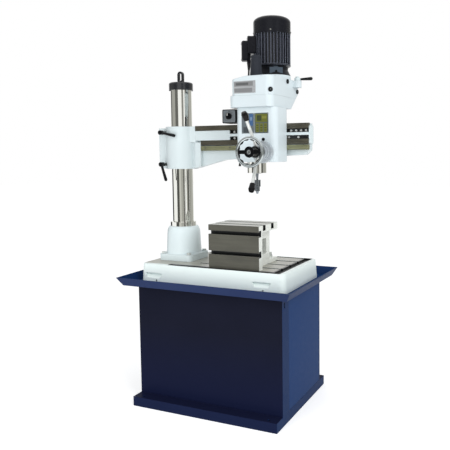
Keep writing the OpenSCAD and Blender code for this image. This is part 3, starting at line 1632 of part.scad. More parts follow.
module handwheel_rim() {
  ring_r = wheel_d / 2 - wheel_rim_d / 2;
  inner_r = wheel_d / 2 * wheel_inner_share - wheel_wave;
  web = wheel_spoke_t / 2;
  color(bright_steel) translate([feed_x, wheel_y, feed_z]) {
    rotate([90, 0, 0]) rotate_extrude() translate([ring_r, 0]) circle(wheel_rim_d / 2);
    xz_slab(-web, web) difference() {
      circle(ring_r);
      wheel_inner_outline();
    }
    for (s = [0, 180]) rotate([0, s, 0]) translate([inner_r, -web, -wheel_spoke_w / 2])
      cube([ring_r - inner_r - wheel_rim_d / 4, wheel_spoke_t, wheel_spoke_w]);
  }
}

module handwheel_hub() {
  inner_r = wheel_d / 2 * wheel_inner_share - wheel_wave;
  color(black_paint) translate([feed_x, wheel_y, feed_z]) difference() {
    union() {
      y_bar(wheel_hub_d / 2, -wheel_hub_l / 2, wheel_hub_l / 2);
      translate([-inner_r, -wheel_spoke_t / 2, -wheel_spoke_w / 2])
        cube([2 * inner_r, wheel_spoke_t, wheel_spoke_w]);
    }
    y_bar(wheel_shaft_r + seat_gap, -wheel_hub_l, wheel_hub_l);
  }
}

// Quill, spindle and chuck

quill_rack_pitch = PI * feed_module;
quill_rack_z0 = feed_z - ceil(rack_margin / quill_rack_pitch) * quill_rack_pitch;
quill_rack_count = ceil((quill_travel + 2 * rack_margin) / quill_rack_pitch);

module quill() {
  cut_x = quill_pitch - dedendum_share * feed_module;
  color(bright_steel) translate([spindle_x, spindle_y, 0]) difference() {
    union() {
      difference() {
        translate([0, 0, quill_z]) cylinder(r = quill_r, h = quill_l);
        translate([cut_x, -quill_rack_w / 2, quill_rack_z0])
          cube([quill_r, quill_rack_w, quill_rack_count * quill_rack_pitch]);
      }
      intersection() {
        translate([quill_pitch, 0, quill_rack_z0])
          xz_slab(-quill_rack_w / 2, quill_rack_w / 2)
            polygon(rack_points(feed_module, quill_rack_count, rack_margin / 2));
        translate([0, 0, quill_z]) cylinder(r = quill_r - seat_gap, h = quill_l);
      }
    }
    translate([0, 0, quill_z - overrun]) cylinder(d = quill_bore_d, h = quill_l + 2 * overrun);
    for (z = [quill_z + quill_collar_h, quill_z + quill_l - quill_collar_h - bearing_h])
      translate([0, 0, z]) cylinder(d = bearing_d + 2 * seat_gap, h = bearing_h);
  }
}

module quill_bearings() {
  color(steel_grey) for (z = [quill_z + quill_collar_h, quill_z + quill_l - quill_collar_h - bearing_h])
    translate([spindle_x, spindle_y, z]) difference() {
      cylinder(d = bearing_d, h = bearing_h);
      translate([0, 0, -overrun]) cylinder(d = spindle_d + 2 * run_gap, h = bearing_h + 2 * overrun);
    }
}

module spindle() {
  z0 = quill_z - spindle_nose_drop;
  shoulder = quill_z + quill_l;
  color(bright_steel) translate([spindle_x, spindle_y, 0]) difference() {
    union() {
      translate([0, 0, z0]) cylinder(d = spindle_nose_d, h = spindle_nose_drop + quill_collar_h - face_gap);
      translate([0, 0, z0]) cylinder(d = spindle_d, h = shoulder - z0);
      translate([0, 0, shoulder]) cylinder(d = spline_d, h = spindle_top - shoulder);
    }
    translate([0, 0, z0 - overrun]) cylinder(d = arbor_d + 2 * seat_gap, h = arbor_l + overrun);
  }
}

module drill_chuck() {
  z0 = quill_z - spindle_nose_drop;
  body_z = z0 - arbor_l + spindle_nose_drop - chuck_h;
  nose_z = body_z - chuck_nose_h;
  color(bright_steel) translate([spindle_x, spindle_y, 0]) {
    translate([0, 0, body_z + chuck_h])
      cylinder(d1 = arbor_d * head_share, d2 = arbor_d, h = z0 - body_z - chuck_h);
    translate([0, 0, z0]) cylinder(d = arbor_d, h = arbor_l - overrun);
    difference() {
      translate([0, 0, body_z]) cylinder(d = chuck_d, h = chuck_h);
      for (a = [0 : 120 : 240]) rotate(a) translate([0, 0, body_z + key_hole_d]) rotate([0, 90, 0])
        translate([0, 0, chuck_d / 3]) cylinder(d = key_hole_d, h = chuck_d);
    }
    translate([0, 0, nose_z]) linear_extrude(height = chuck_nose_h)
      polygon([for (i = [0 : 2 * sleeve_knurls - 1])
        polar(chuck_nose_d / 2 - (i % 2) * knurl_depth, 180 * i / sleeve_knurls)]);
    difference() {
      translate([0, 0, nose_z - jaw_out]) cylinder(d1 = jaw_d, d2 = chuck_nose_d * head_share, h = jaw_out);
      for (a = [0 : 120 : 240]) rotate(a) translate([0, -jaw_slit / 2, nose_z - jaw_out - overrun])
        cube([jaw_d, jaw_slit, jaw_out]);
    }
  }
}

stand_cabinet();
side_panel();
stand_feet();
chip_tray();
base_casting();
hold_down_bolts();
box_table();
table_bolts();
column_base();
column();
column_ring();
column_cap();
lifting_eye();
elevating_rack();
arm_casting();
arm_ways();
arm_screws();
traverse_rack();
rack_screws();
arm_end_plate();
clamp_studs();
upper_clamp_lever();
lower_clamp_lever();
elevating_pinion();
crank_socket();
head_casting();
saddle_keepers();
gearbox_case();
gearbox_cover();
blanking_plugs();
sleeve_bearing();
switch_box();
switch_plate();
switch_knob();
head_lock_knob();
speed_lever();
motor_adapter();
motor_frame();
motor_cowl();
terminal_box();
motor_lead();
motor_rotor();
layshaft();
spindle_gear();
spindle_cover();
feed_flange();
return_spring();
feed_shaft();
depth_dial();
feed_hub();
feed_levers();
feed_knobs();
handwheel_shaft();
handwheel_rim();
handwheel_hub();
quill();
quill_bearings();
spindle();
drill_chuck();
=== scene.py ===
"""Look of the radial arm drill: finishes, plates, fine trim, studio and camera."""
import math

import bmesh
import bpy
from mathutils import Matrix, Vector


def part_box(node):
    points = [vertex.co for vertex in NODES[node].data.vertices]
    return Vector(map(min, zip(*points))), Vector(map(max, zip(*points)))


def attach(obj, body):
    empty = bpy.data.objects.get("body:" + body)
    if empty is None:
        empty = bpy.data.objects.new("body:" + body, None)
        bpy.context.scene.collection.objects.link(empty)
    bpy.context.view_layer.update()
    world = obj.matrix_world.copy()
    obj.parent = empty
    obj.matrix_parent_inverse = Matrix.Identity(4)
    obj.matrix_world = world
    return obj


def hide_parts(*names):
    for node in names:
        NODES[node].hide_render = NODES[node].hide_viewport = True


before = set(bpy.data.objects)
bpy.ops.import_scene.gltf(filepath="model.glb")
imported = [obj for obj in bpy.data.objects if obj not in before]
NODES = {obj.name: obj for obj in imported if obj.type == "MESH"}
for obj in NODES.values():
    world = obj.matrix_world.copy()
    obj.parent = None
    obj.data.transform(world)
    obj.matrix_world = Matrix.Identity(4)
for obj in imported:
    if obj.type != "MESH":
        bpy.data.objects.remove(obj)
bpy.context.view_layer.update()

# Camera, worked out from the photo's straight edges
IMAGE_PX = 450
FOCAL_PX = 588.86
CENTRE_PX = (276.55, 205.68)
YAW, PITCH, ROLL = (math.radians(a) for a in (23.863, 4.945, -0.436))
CAMERA_AT = Vector((1.45170, -2.68549, 1.27012))
SENSOR_MM = 36.0
NEAR_CLIP, FAR_CLIP = 0.1, 60.0

# Directions; the operator stands on the -Y side
X_AXIS, Y_AXIS, Z_AXIS = (1.0, 0.0, 0.0), (0.0, 1.0, 0.0), (0.0, 0.0, 1.0)
LEFT = (-1.0, 0.0, 0.0)
FORWARD = (0, -1, 0)
CORNERS = [(side, end) for side in (-1, 1) for end in (-1, 1)]

# Places on the machine, in metres
COLUMN_X = -0.284
HEAD_FRONT_Y = -0.1583
CASE_FRONT_Y = -0.1803
SPINDLE = Vector((0.203, -0.0933, 0.0))
MOTOR = Vector((0.223, 0.0517, 0.0))
FEED = Vector((0.269, 0.0, 1.283))
SWITCH = Vector((0.083, -0.1503, 1.457))


def bearing(degrees):
    """Level unit vector at an angle round an upright axis."""
    turn = math.radians(degrees)
    return Vector((math.cos(turn), math.sin(turn), 0))


def clock(turn):
    """Unit vector at an angle, in radians, round an axis along Y."""
    return Vector((math.cos(turn), 0, math.sin(turn)))


def round_motor(out, reach, z):
    """Point at a reach from the motor's axis and a height."""
    return MOTOR + out * reach + Vector((0, 0, z))


def on_feed_axis(y):
    return Vector((FEED.x, y, FEED.z))


# Node trees

class Net:
    """Short forms for building one node tree."""

    def __init__(self, tree):
        self.tree = tree

    def put(self, value, socket):
        """Links an output to a socket, or sets the socket to a constant."""
        if isinstance(value, bpy.types.NodeSocket):
            self.tree.links.new(value, socket)
        else:
            socket.default_value = value

    def add(self, kind, **values):
        """New node; a value goes to the input of its name, or else to the node's own setting."""
        node = self.tree.nodes.new(kind)
        for key, value in values.items():
            if key in node.inputs:
                self.put(value, node.inputs[key])
            else:
                setattr(node, key, value)
        return node

    def group(self, name, **values):
        """Places a node group and gives its outputs."""
        node = self.add("ShaderNodeGroup", node_tree=bpy.data.node_groups[name])
        for key, value in values.items():
            self.put(value, node.inputs[key])
        return node.outputs

    def coords(self, kind):
        return self.add("ShaderNodeTexCoord").outputs[kind]

    def noise(self, place, **values):
        return self.add("ShaderNodeTexNoise", Vector=place, **values).outputs["Fac"]

    def math(self, operation, a, b, clamp=False):
        node = self.add("ShaderNodeMath", operation=operation, use_clamp=clamp)
        self.put(a, node.inputs[0])
        self.put(b, node.inputs[1])
        return node.outputs[0]

    def vector(self, operation, a, b=None):
        node = self.add("ShaderNodeVectorMath", operation=operation)
        self.put(a, node.inputs[0])
        if b is not None:
            self.put(b, node.inputs[1])
        return node.outputs["Value" if operation in ("DOT_PRODUCT", "LENGTH") else "Vector"]

    def mix(self, factor, a, b):
        node = self.add("ShaderNodeMix", data_type="RGBA")
        for key, value in (("Factor", factor), ("A", a), ("B", b)):
            self.put(value, next(s for s in node.inputs if s.name == key and s.enabled))
        return next(s for s in node.outputs if s.enabled)

    def remap(self, value, low, high, to_low=0.0, to_high=1.0):
        spans = {"From Min": low, "From Max": high, "To Min": to_low, "To Max": to_high}
        return self.add("ShaderNodeMapRange", Value=value, **spans).outputs["Result"]


def new_group(name, inputs, outputs):
    """New node group with named sockets: its net, what it takes and what it gives."""
    tree = bpy.data.node_groups.new(name, "ShaderNodeTree")
    for kind, label, default in inputs:
        socket = tree.interface.new_socket(name=label, in_out="INPUT", socket_type="NodeSocket" + kind)
        socket.default_value = default
    for kind, label in outputs:
        tree.interface.new_socket(name=label, in_out="OUTPUT", socket_type="NodeSocket" + kind)
    net = Net(tree)
    return net, net.add("NodeGroupInput").outputs, net.add("NodeGroupOutput").inputs


def rgba(r, g, b):
    return (r, g, b, 1.0)


def srgb(r, g, b):
    """Linear colour of an 8-bit screen colour."""
    def line(v):
        v /= 255
        return v / 12.92 if v <= 0.04045 else ((v + 0.055) / 1.055) ** 2.4
    return rgba(line(r), line(g), line(b))


SURFACE = [("Color", "Color"), ("Float", "Roughness"), ("Float", "Height")]
MASK = [("Float", "Mask")]


def build_paint_finish():
    """Two drifting tones, smeared gloss and a fine orange peel."""
    net, take, give = new_group("paint_finish", [
        ("Color", "Color", rgba(0.8, 0.8, 0.8)), ("Color", "Shade", rgba(0.6, 0.6, 0.6)),
        ("Float", "Scale", 5.0), ("Float", "Peel", 700.0),
        ("Float", "Smooth", 0.25), ("Float", "Rough", 0.42)], SURFACE)
    place = net.coords("Object")
    drift = net.remap(net.noise(place, Scale=take["Scale"], Detail=3.0), 0.35, 0.75, 0.0, 0.55)
    smear = net.noise(place, Scale=38.0, Detail=5.0)
    net.put(net.mix(drift, take["Color"], take["Shade"]), give["Color"])
    net.put(net.remap(smear, 0.0, 1.0, take["Smooth"], take["Rough"]), give["Roughness"])
    net.put(net.noise(place, Scale=take["Peel"], Detail=2.0), give["Height"])


def build_metal_finish():
    """Fine lines, drawn out along an axis where stretched, over a faint stain."""
    net, take, give = new_group("metal_finish", [
        ("Color", "Color", rgba(0.7, 0.7, 0.7)), ("Color", "Dark", rgba(0.4, 0.4, 0.4)),
        ("Vector", "Stretch", (1.0, 1.0, 1.0)), ("Float", "Scale", 60.0),
        ("Float", "Smooth", 0.12), ("Float", "Rough", 0.3)], SURFACE)
    place = net.coords("Object")
    drawn = net.vector("MULTIPLY", place, take["Stretch"])
    lines = net.noise(drawn, Scale=take["Scale"], Detail=6.0, Roughness=0.65)
    stain = net.remap(net.noise(place, Scale=7.0, Detail=4.0), 0.3, 0.7, 0.7, 1.3)
    marks = net.math("MULTIPLY", lines, stain)
    net.put(net.mix(net.remap(marks, 0.3, 0.7), take["Color"], take["Dark"]), give["Color"])
    net.put(net.remap(marks, 0.0, 1.0, take["Smooth"], take["Rough"]), give["Roughness"])
    net.put(lines, give["Height"])


def build_edge_soften():
    """Rounded normal along the edges, and a mask of where it bends."""
    net, take, give = new_group("edge_soften", [("Float", "Radius", 0.002)],
                                [("Vector", "Normal"), ("Float", "Mask")])
    bevel = net.add("ShaderNodeBevel", samples=6, Radius=take["Radius"]).outputs["Normal"]
    bend = net.vector("DOT_PRODUCT", bevel, net.add("ShaderNodeNewGeometry").outputs["Normal"])
    net.put(bevel, give["Normal"])
    net.put(net.remap(bend, 1.0, 0.75), give["Mask"])


def build_face_mask():
    """Masks a face by which way it points, in the object's own axes."""
    net, take, give = new_group("face_mask", [
        ("Vector", "Axis", Z_AXIS), ("Float", "From", 0.6), ("Float", "To", 0.9)], MASK)
    turned = net.vector("DOT_PRODUCT", net.coords("Normal"), take["Axis"])
    net.put(net.remap(turned, take["From"], take["To"]), give["Mask"])


def build_span_mask():
    """Masks what lies between two limits along one of the object's own axes."""
    net, take, give = new_group("span_mask", [
        ("Vector", "Axis", Z_AXIS), ("Float", "Low", 0.0), ("Float", "High", 1.0)], MASK)
    along = net.vector("DOT_PRODUCT", net.coords("Object"), take["Axis"])
    above = net.math("GREATER_THAN", along, take["Low"])
    below = net.math("LESS_THAN", along, take["High"])
    net.put(net.math("MULTIPLY", above, below), give["Mask"])


def build_ring_mask():
    """Masks what lies nearer than a radius to an axis along Y."""
    net, take, give = new_group("ring_mask", [
        ("Vector", "Centre", (0.0, 0.0, 0.0)), ("Float", "Radius", 0.05)], MASK)
    away = net.vector("SUBTRACT", net.coords("Object"), take["Centre"])
    across = net.vector("MULTIPLY", away, (1.0, 0.0, 1.0))
    net.put(net.math("LESS_THAN", net.vector("LENGTH", across), take["Radius"]), give["Mask"])


for build in (build_paint_finish, build_metal_finish, build_edge_soften, build_face_mask, build_span_mask,
              build_ring_mask):
    build()


# Colours

# The castings share one white paint; the base takes a lighter copy and the head and arm darker copies, as painted
# light and shade
WHITE, WHITE_SHADE = srgb(222, 234, 236), srgb(213, 225, 227)
BASE_LIT_WHITE, BASE_LIT_DRIFT = srgb(238, 249, 246), srgb(230, 242, 239)
HEAD_SHADED_WHITE, HEAD_SHADED_DRIFT = srgb(213, 224, 228), srgb(206, 217, 221)
ARM_SHADED_WHITE, ARM_SHADED_DRIFT = srgb(212, 223, 225), srgb(204, 215, 217)
CREAM = srgb(240, 243, 237)
# Navy tones of the stand: the lit tone, the side tone and the foot's darker top go on faces by the way they point,
# as painted light and shade; the low tone is where the front turns bluer
STAND_LIT_TONE = srgb(20, 52, 99)
STAND_SIDE_SHADING = srgb(19, 43, 83)
STAND_LOW = srgb(21, 26, 52)
FOOT_SHADED_TOP = srgb(24, 28, 53)
DECK_IRON, DECK_DARK = srgb(182, 181, 170), srgb(140, 137, 124)
# Lighter tone for the table's top faces: painted light
TABLE_LIT_TOP = srgb(196, 197, 190)
# Painted shade for slots, grooves and the deck's trough
SLOT_SHADE = srgb(22, 24, 25)
# Painted shade on the handwheel web's inner edge
WEB_SHADE = srgb(44, 46, 48)
# Blue-grey painted highlight on the adapter's flat
FLAT_HIGHLIGHT = srgb(70, 80, 90)
# Painted highlight along the motor fins' edges
FIN_EDGE_HIGHLIGHT = srgb(162, 170, 190)
GRIP_BLACK, GRIP_SHADE = srgb(13, 14, 16), srgb(10, 10, 12)

# Materials

PEEL_BUMP, PEEL_DEPTH = 0.12, 0.0004
COAT_ROUGH = 0.2


def new_finish(name, group, values, bevel, bump, depth, tweak, edge_highlight_and_wear, highlight_and_wear_share):
    """Material from a finish group, with soft edges, a lighter colour along them (painted highlight on the black
    finishes) and a fine relief.
    """
    mat = bpy.data.materials.new(name)
    mat.use_nodes = True
    net, bsdf = Net(mat.node_tree), mat.node_tree.nodes["Principled BSDF"].inputs
    finish = net.group(group, **values)
    colour = tweak(net, finish["Color"]) if tweak else finish["Color"]
    edge = net.group("edge_soften", Radius=bevel)
    if edge_highlight_and_wear:
        colour = net.mix(net.math("MULTIPLY", edge["Mask"], highlight_and_wear_share), colour, edge_highlight_and_wear)
    relief = net.add("ShaderNodeBump", Strength=bump, Distance=depth, Height=finish["Height"],
                     Normal=edge["Normal"])
    net.put(colour, bsdf["Base Color"])
    net.put(finish["Roughness"], bsdf["Roughness"])
    net.put(relief.outputs["Normal"], bsdf["Normal"])
    return mat, bsdf


def paint(name, colour, shade, bevel=0.003, coat=0.15, smooth=0.26, rough=0.42, specular=0.5, peel=700.0,
          tweak=None, edge_highlight_and_wear=None, highlight_and_wear_share=0.5):
    """Painted, moulded or rubber surface."""
    values = {"Color": colour, "Shade": shade, "Smooth": smooth, "Rough": rough, "Peel": peel}
    mat, bsdf = new_finish(name, "paint_finish", values, bevel, PEEL_BUMP, PEEL_DEPTH, tweak, edge_highlight_and_wear, highlight_and_wear_share)
    bsdf["Coat Weight"].default_value = coat
    bsdf["Coat Roughness"].default_value = COAT_ROUGH
    bsdf["Specular IOR Level"].default_value = specular
    return mat


def metal(name, colour, dark, stretch=(1.0, 1.0, 1.0), scale=60.0, smooth=0.12, rough=0.3, metallic=1.0,
          bevel=0.001, bump=0.06, depth=0.0003, tweak=None, edge_highlight_and_wear=None, highlight_and_wear_share=0.5):
    """Bare metal, ground, turned or plated."""
    values = {"Color": colour, "Dark": dark, "Stretch": stretch, "Scale": scale, "Smooth": smooth, "Rough": rough}
    mat, bsdf = new_finish(name, "metal_finish", values, bevel, bump, depth, tweak, edge_highlight_and_wear, highlight_and_wear_share)
    bsdf["Metallic"].default_value = metallic
    return mat


# Tweaks that colour single faces and regions of a piece

# How squarely a face points along an axis, where its mask starts and where it is full
DECK_TURN, TABLE_TURN, FLAT_TURN = (0.9, 0.95), (0.7, 0.8), (0.985, 0.995)
SHEET_TOP_TURN, SHEET_SIDE_TURN = (0.1, 0.7), (0.2, 0.8)


def on_face(net, axis, turn):
    """Mask of the faces that point along an axis."""
    return net.group("face_mask", Axis=axis, From=turn[0], To=turn[1])["Mask"]


def box_mask(net, x=None, y=None, z=None):
    """Mask of what lies between the limits given along X, Y and Z."""
    mask = None
    for axis, limits in ((X_AXIS, x), (Y_AXIS, y), (Z_AXIS, z)):
        if limits:
            part = net.group("span_mask", Axis=axis, Low=limits[0], High=limits[1])["Mask"]
            mask = part if mask is None else net.math("MULTIPLY", mask, part)
    return mask


def inside(net, colour, ink, **limits):
    """Colours what lies inside a box given by its limits."""
    return net.mix(box_mask(net, **limits), colour, ink)


# A machined skin takes this depth below its face, and slots start just under it
SKIN, UNDER_SKIN = 0.0008, 0.0009
DECK_Z = 0.716
DECK_X, DECK_Y = (-0.42, 0.3315), (-0.1875, 0.2115)
TROUGH_X, TROUGH_Y = (-0.2545, 0.3695), (-0.2095, 0.2335)
TROUGH_FLOOR_Z = DECK_Z - 0.03
# Strips of the deck in front of and right of the trough take painted shade, so the trough looks wider
FRONT_SHADE_STRIP_Y, RIGHT_SHADE_STRIP_X = (-0.2095, -0.170), (0.320, 0.3695)
SHADE_STRIP_TOP_Z = DECK_Z + 0.001
ABOVE_DECK_Z, ABOVE_TABLE_Z = 1.0, 1.2


def machined_deck(net, colour):
    """Bare machined deck on the painted base, with painted shade in its slots and trough and on deck strips beside
    the trough.
    """
    region = box_mask(net, x=DECK_X, y=DECK_Y, z=(DECK_Z - SKIN, ABOVE_DECK_Z))
    deck = net.math("MULTIPLY", on_face(net, Z_AXIS, DECK_TURN), region)
    bare = net.group("metal_finish", Color=DECK_IRON, Dark=DECK_DARK, Stretch=DECK_STRETCH, Scale=240.0)
    out = net.mix(deck, colour, bare["Color"])
    for x, y, top in ((TROUGH_X, TROUGH_Y, DECK_Z - UNDER_SKIN), (TROUGH_X, FRONT_SHADE_STRIP_Y, SHADE_STRIP_TOP_Z),
                      (RIGHT_SHADE_STRIP_X, TROUGH_Y, SHADE_STRIP_TOP_Z)):
        out = inside(net, out, SLOT_SHADE, x=x, y=y, z=(TROUGH_FLOOR_Z, top))
    return out


TABLE_Z = 0.931
TABLE_SLOT_FLOOR_Z = 0.904
TABLE_SLOTS_Y = (-0.1225, -0.0275)
FRONT_SLOTS_Z = (0.793, 0.893)
FRONT_SLOT_Y = (-0.1831, -0.1575)
SLOT_HALF = 0.0158
# Unmachined parts of the table: its core, then its rear foot, by Y and Z limits
TABLE_CAST = [((-0.1455, 0.0345), (0.70, 0.8965)), ((0.0335, 0.14), (0.70, 0.74))]


def cast_ends(net, colour):
    """Cream paint on the table's ends and core, a lighter top as painted light, and painted shade in the slots."""
    region = box_mask(net, z=(TABLE_Z - SKIN, ABOVE_TABLE_Z))
    top = net.math("MULTIPLY", on_face(net, Z_AXIS, TABLE_TURN), region)
    out = net.mix(top, colour, TABLE_LIT_TOP)
    ends = net.math("ADD", on_face(net, X_AXIS, TABLE_TURN), on_face(net, LEFT, TABLE_TURN), clamp=True)
    out = net.mix(ends, out, CREAM)
    for y, z in TABLE_CAST:
        out = inside(net, out, CREAM, y=y, z=z)
    for y in TABLE_SLOTS_Y:
        slot = (y - SLOT_HALF, y + SLOT_HALF)
        out = inside(net, out, SLOT_SHADE, y=slot, z=(TABLE_SLOT_FLOOR_Z, TABLE_Z - UNDER_SKIN))
    for z in FRONT_SLOTS_Z:
        out = inside(net, out, SLOT_SHADE, y=FRONT_SLOT_Y, z=(z - SLOT_HALF, z + SLOT_HALF))
    return out


FLAT_OUT = bearing(-53)


def flat_highlight(net, colour):
    """Painted highlight: blue-grey on the flat of the adapter's front."""
    return net.mix(on_face(net, FLAT_OUT, FLAT_TURN), colour, FLAT_HIGHLIGHT)


ARM_GROOVES = {"x": (0.0195, 0.4455), "y": (-0.0215, -0.0075), "z": (1.3455, 1.3965)}
LEVER_HUB = {"x": (0.318, 0.3575), "y": (0.07, 0.13), "z": (1.5, 1.8)}
WEB_R = 0.0565


def groove_shade(net, colour):
    """Painted shade in the grooves beside the arm's rib."""
    return inside(net, colour, SLOT_SHADE, **ARM_GROOVES)


def web_shade(net, colour):
    """Painted shade on the inner edge of the handwheel's web."""
    return net.mix(net.group("ring_mask", Centre=FEED, Radius=WEB_R)["Mask"], colour, WEB_SHADE)


def pale_hub(net, colour):
    """Painted hub of the speed lever; only its grip is black."""
    return inside(net, colour, WHITE_SHADE, **LEVER_HUB)


# Heights between which the stand's front turns bluer
BLUER_FROM_Z, BLUER_TO_Z = 0.42, 0.06


def stand_light_and_shade(side_shading, top_shading, top_shading_share, low_colour=None):
    """Painted light and shade on the navy paint: a tone for side faces and, by a share, one for top faces; the
    front also turns bluer towards the bottom.
    """
    def tweak(net, colour):
        if low_colour:
            height = net.vector("DOT_PRODUCT", net.coords("Object"), Z_AXIS)
            colour = net.mix(net.remap(height, BLUER_FROM_Z, BLUER_TO_Z), colour, low_colour)
        up = net.math("MULTIPLY", on_face(net, Z_AXIS, SHEET_TOP_TURN), top_shading_share)
        colour = net.mix(up, colour, top_shading)
        return net.mix(on_face(net, X_AXIS, SHEET_SIDE_TURN), colour, side_shading)
    return tweak


# What several finishes share
SHEET = {"bevel": 0.002, "coat": 0.0, "specular": 0.02}
SATIN = {"bevel": 0.002, "coat": 0.0}
# Stretches that draw a metal's lines out along X, or along Z
LENGTHWISE, UPRIGHT = (0.05, 1.0, 1.0), (1.0, 1.0, 0.02)
DECK_STRETCH, PLATE_STRETCH = (0.08, 1.0, 1.0), (0.04, 1.0, 1.0)

MATERIALS = {
    "casting": paint("casting_paint", WHITE, WHITE_SHADE, bevel=0.005, coat=0.2),
    "head": paint("head_paint", HEAD_SHADED_WHITE, HEAD_SHADED_DRIFT, bevel=0.005, coat=0.2),
    "arm": paint("arm_paint", ARM_SHADED_WHITE, ARM_SHADED_DRIFT, bevel=0.004, coat=0.2, tweak=groove_shade),
    "base": paint("base_paint", BASE_LIT_WHITE, BASE_LIT_DRIFT, bevel=0.004, coat=0.2, tweak=machined_deck),
    # The navy pieces take painted light and shade by the way their faces point; the side panel is in the lit tone
    # all over
    "stand": paint("stand_paint", srgb(24, 26, 40), srgb(21, 23, 36), **SHEET,
                   tweak=stand_light_and_shade(STAND_SIDE_SHADING, STAND_LIT_TONE, 0.25, STAND_LOW)),
    "panel": paint("panel_paint", STAND_LIT_TONE, srgb(17, 46, 90), **SHEET,
                   tweak=stand_light_and_shade(STAND_LIT_TONE, STAND_LIT_TONE, 0.25)),
    "foot": paint("foot_paint", srgb(26, 34, 63), srgb(22, 29, 56), **SHEET,
                  tweak=stand_light_and_shade(STAND_SIDE_SHADING, FOOT_SHADED_TOP, 1.0)),
    "tray": paint("tray_paint", srgb(44, 56, 91), srgb(38, 49, 82), **SHEET,
                  tweak=stand_light_and_shade(STAND_SIDE_SHADING, STAND_LIT_TONE, 1.0)),
    "table": metal("table_iron", srgb(90, 89, 79), srgb(78, 77, 69), stretch=LENGTHWISE, scale=90.0,
                   smooth=0.32, rough=0.46, metallic=0.3, bevel=0.0016, bump=0.03, tweak=cast_ends,
                   edge_highlight_and_wear=srgb(158, 158, 148)),
    "chrome": metal("polished_column", srgb(244, 244, 238), srgb(236, 236, 229), stretch=UPRIGHT, scale=90.0,
                    smooth=0.04, rough=0.08, bevel=0.0001, bump=0.0),
    "bright": metal("bright_steel", srgb(212, 216, 217), srgb(184, 188, 190), scale=120.0,
                    smooth=0.1, rough=0.22),
    "hub": metal("feed_hub_steel", srgb(126, 130, 132), srgb(92, 96, 98), scale=120.0, smooth=0.16, rough=0.3),
    "chuck": metal("chuck_steel", srgb(150, 157, 162), srgb(96, 102, 108), scale=160.0,
                   smooth=0.12, rough=0.26),
    "wheel": metal("handwheel_chrome", srgb(196, 203, 204), srgb(168, 175, 176), scale=120.0,
                   smooth=0.1, rough=0.2, bevel=0.002, tweak=web_shade),
    "ways": metal("ground_ways", srgb(100, 96, 83), srgb(66, 64, 54), stretch=LENGTHWISE, scale=200.0,
                  smooth=0.28, rough=0.45, metallic=0.5),
    "rack": metal("rack_steel", srgb(158, 159, 124), srgb(110, 111, 84), stretch=LENGTHWISE, scale=200.0,
                  smooth=0.3, rough=0.5, metallic=0.5),
    "steel": metal("plain_steel", srgb(150, 150, 146), srgb(110, 110, 106), scale=90.0,
                   smooth=0.22, rough=0.42),
    "aluminium": metal("satin_aluminium", srgb(204, 211, 215), srgb(182, 189, 194), scale=140.0, smooth=0.26,
                       rough=0.42, metallic=0.4, edge_highlight_and_wear=srgb(220, 226, 229), highlight_and_wear_share=0.3),
    "switch": metal("switch_grey", srgb(116, 122, 126), srgb(94, 100, 104), scale=140.0,
                    smooth=0.35, rough=0.5, metallic=0.2),
    # On the black finishes below, the lighter edge colour is painted highlight
    "black": paint("black_paint", srgb(25, 26, 31), srgb(20, 21, 25), **SATIN, smooth=0.2, rough=0.34,
                   specular=0.14, edge_highlight_and_wear=srgb(74, 79, 90), highlight_and_wear_share=0.35),
    "fins": paint("fin_black", srgb(19, 20, 25), srgb(15, 16, 20), bevel=0.0026, coat=0.0,
                  smooth=0.24, rough=0.38, specular=0.3, edge_highlight_and_wear=FIN_EDGE_HIGHLIGHT, highlight_and_wear_share=0.95),
    "adapter": paint("adapter_black", srgb(24, 25, 30), srgb(19, 20, 24), **SATIN, smooth=0.32, rough=0.46,
                     specular=0.12, edge_highlight_and_wear=srgb(70, 76, 86), tweak=flat_highlight),
    "tube": paint("tube_black", srgb(45, 48, 55), srgb(38, 41, 47), **SATIN, smooth=0.22, rough=0.36,
                  specular=0.16, edge_highlight_and_wear=srgb(96, 102, 112), highlight_and_wear_share=0.4),
    "gloss": paint("gloss_black", srgb(34, 35, 39), srgb(27, 28, 31), coat=0.25, smooth=0.14, rough=0.26),
    "plastic": paint("black_plastic", GRIP_BLACK, GRIP_SHADE, bevel=0.002, coat=0.05, smooth=0.14, rough=0.26,
                     specular=0.16, peel=1400.0, edge_highlight_and_wear=srgb(58, 60, 64), highlight_and_wear_share=0.3),
    "lever": paint("speed_lever_paint", GRIP_BLACK, GRIP_SHADE, bevel=0.002, coat=0.05, specular=0.28,
                   tweak=pale_hub),
    "zinc": metal("zinc_plate", srgb(226, 229, 226), srgb(204, 207, 204), scale=90.0,
                  smooth=0.25, rough=0.42, metallic=0.6),
    "screws": metal("screw_heads", srgb(240, 242, 240), srgb(214, 217, 214), scale=160.0,
                    smooth=0.25, rough=0.4, metallic=0.25),
    "rubber": paint("black_rubber", srgb(17, 17, 18), srgb(12, 12, 13), bevel=0.001, coat=0.0,
                    smooth=0.5, rough=0.7),
    "pointer": paint("pointer_white", srgb(236, 236, 232), srgb(226, 226, 222), bevel=0.0002),
}

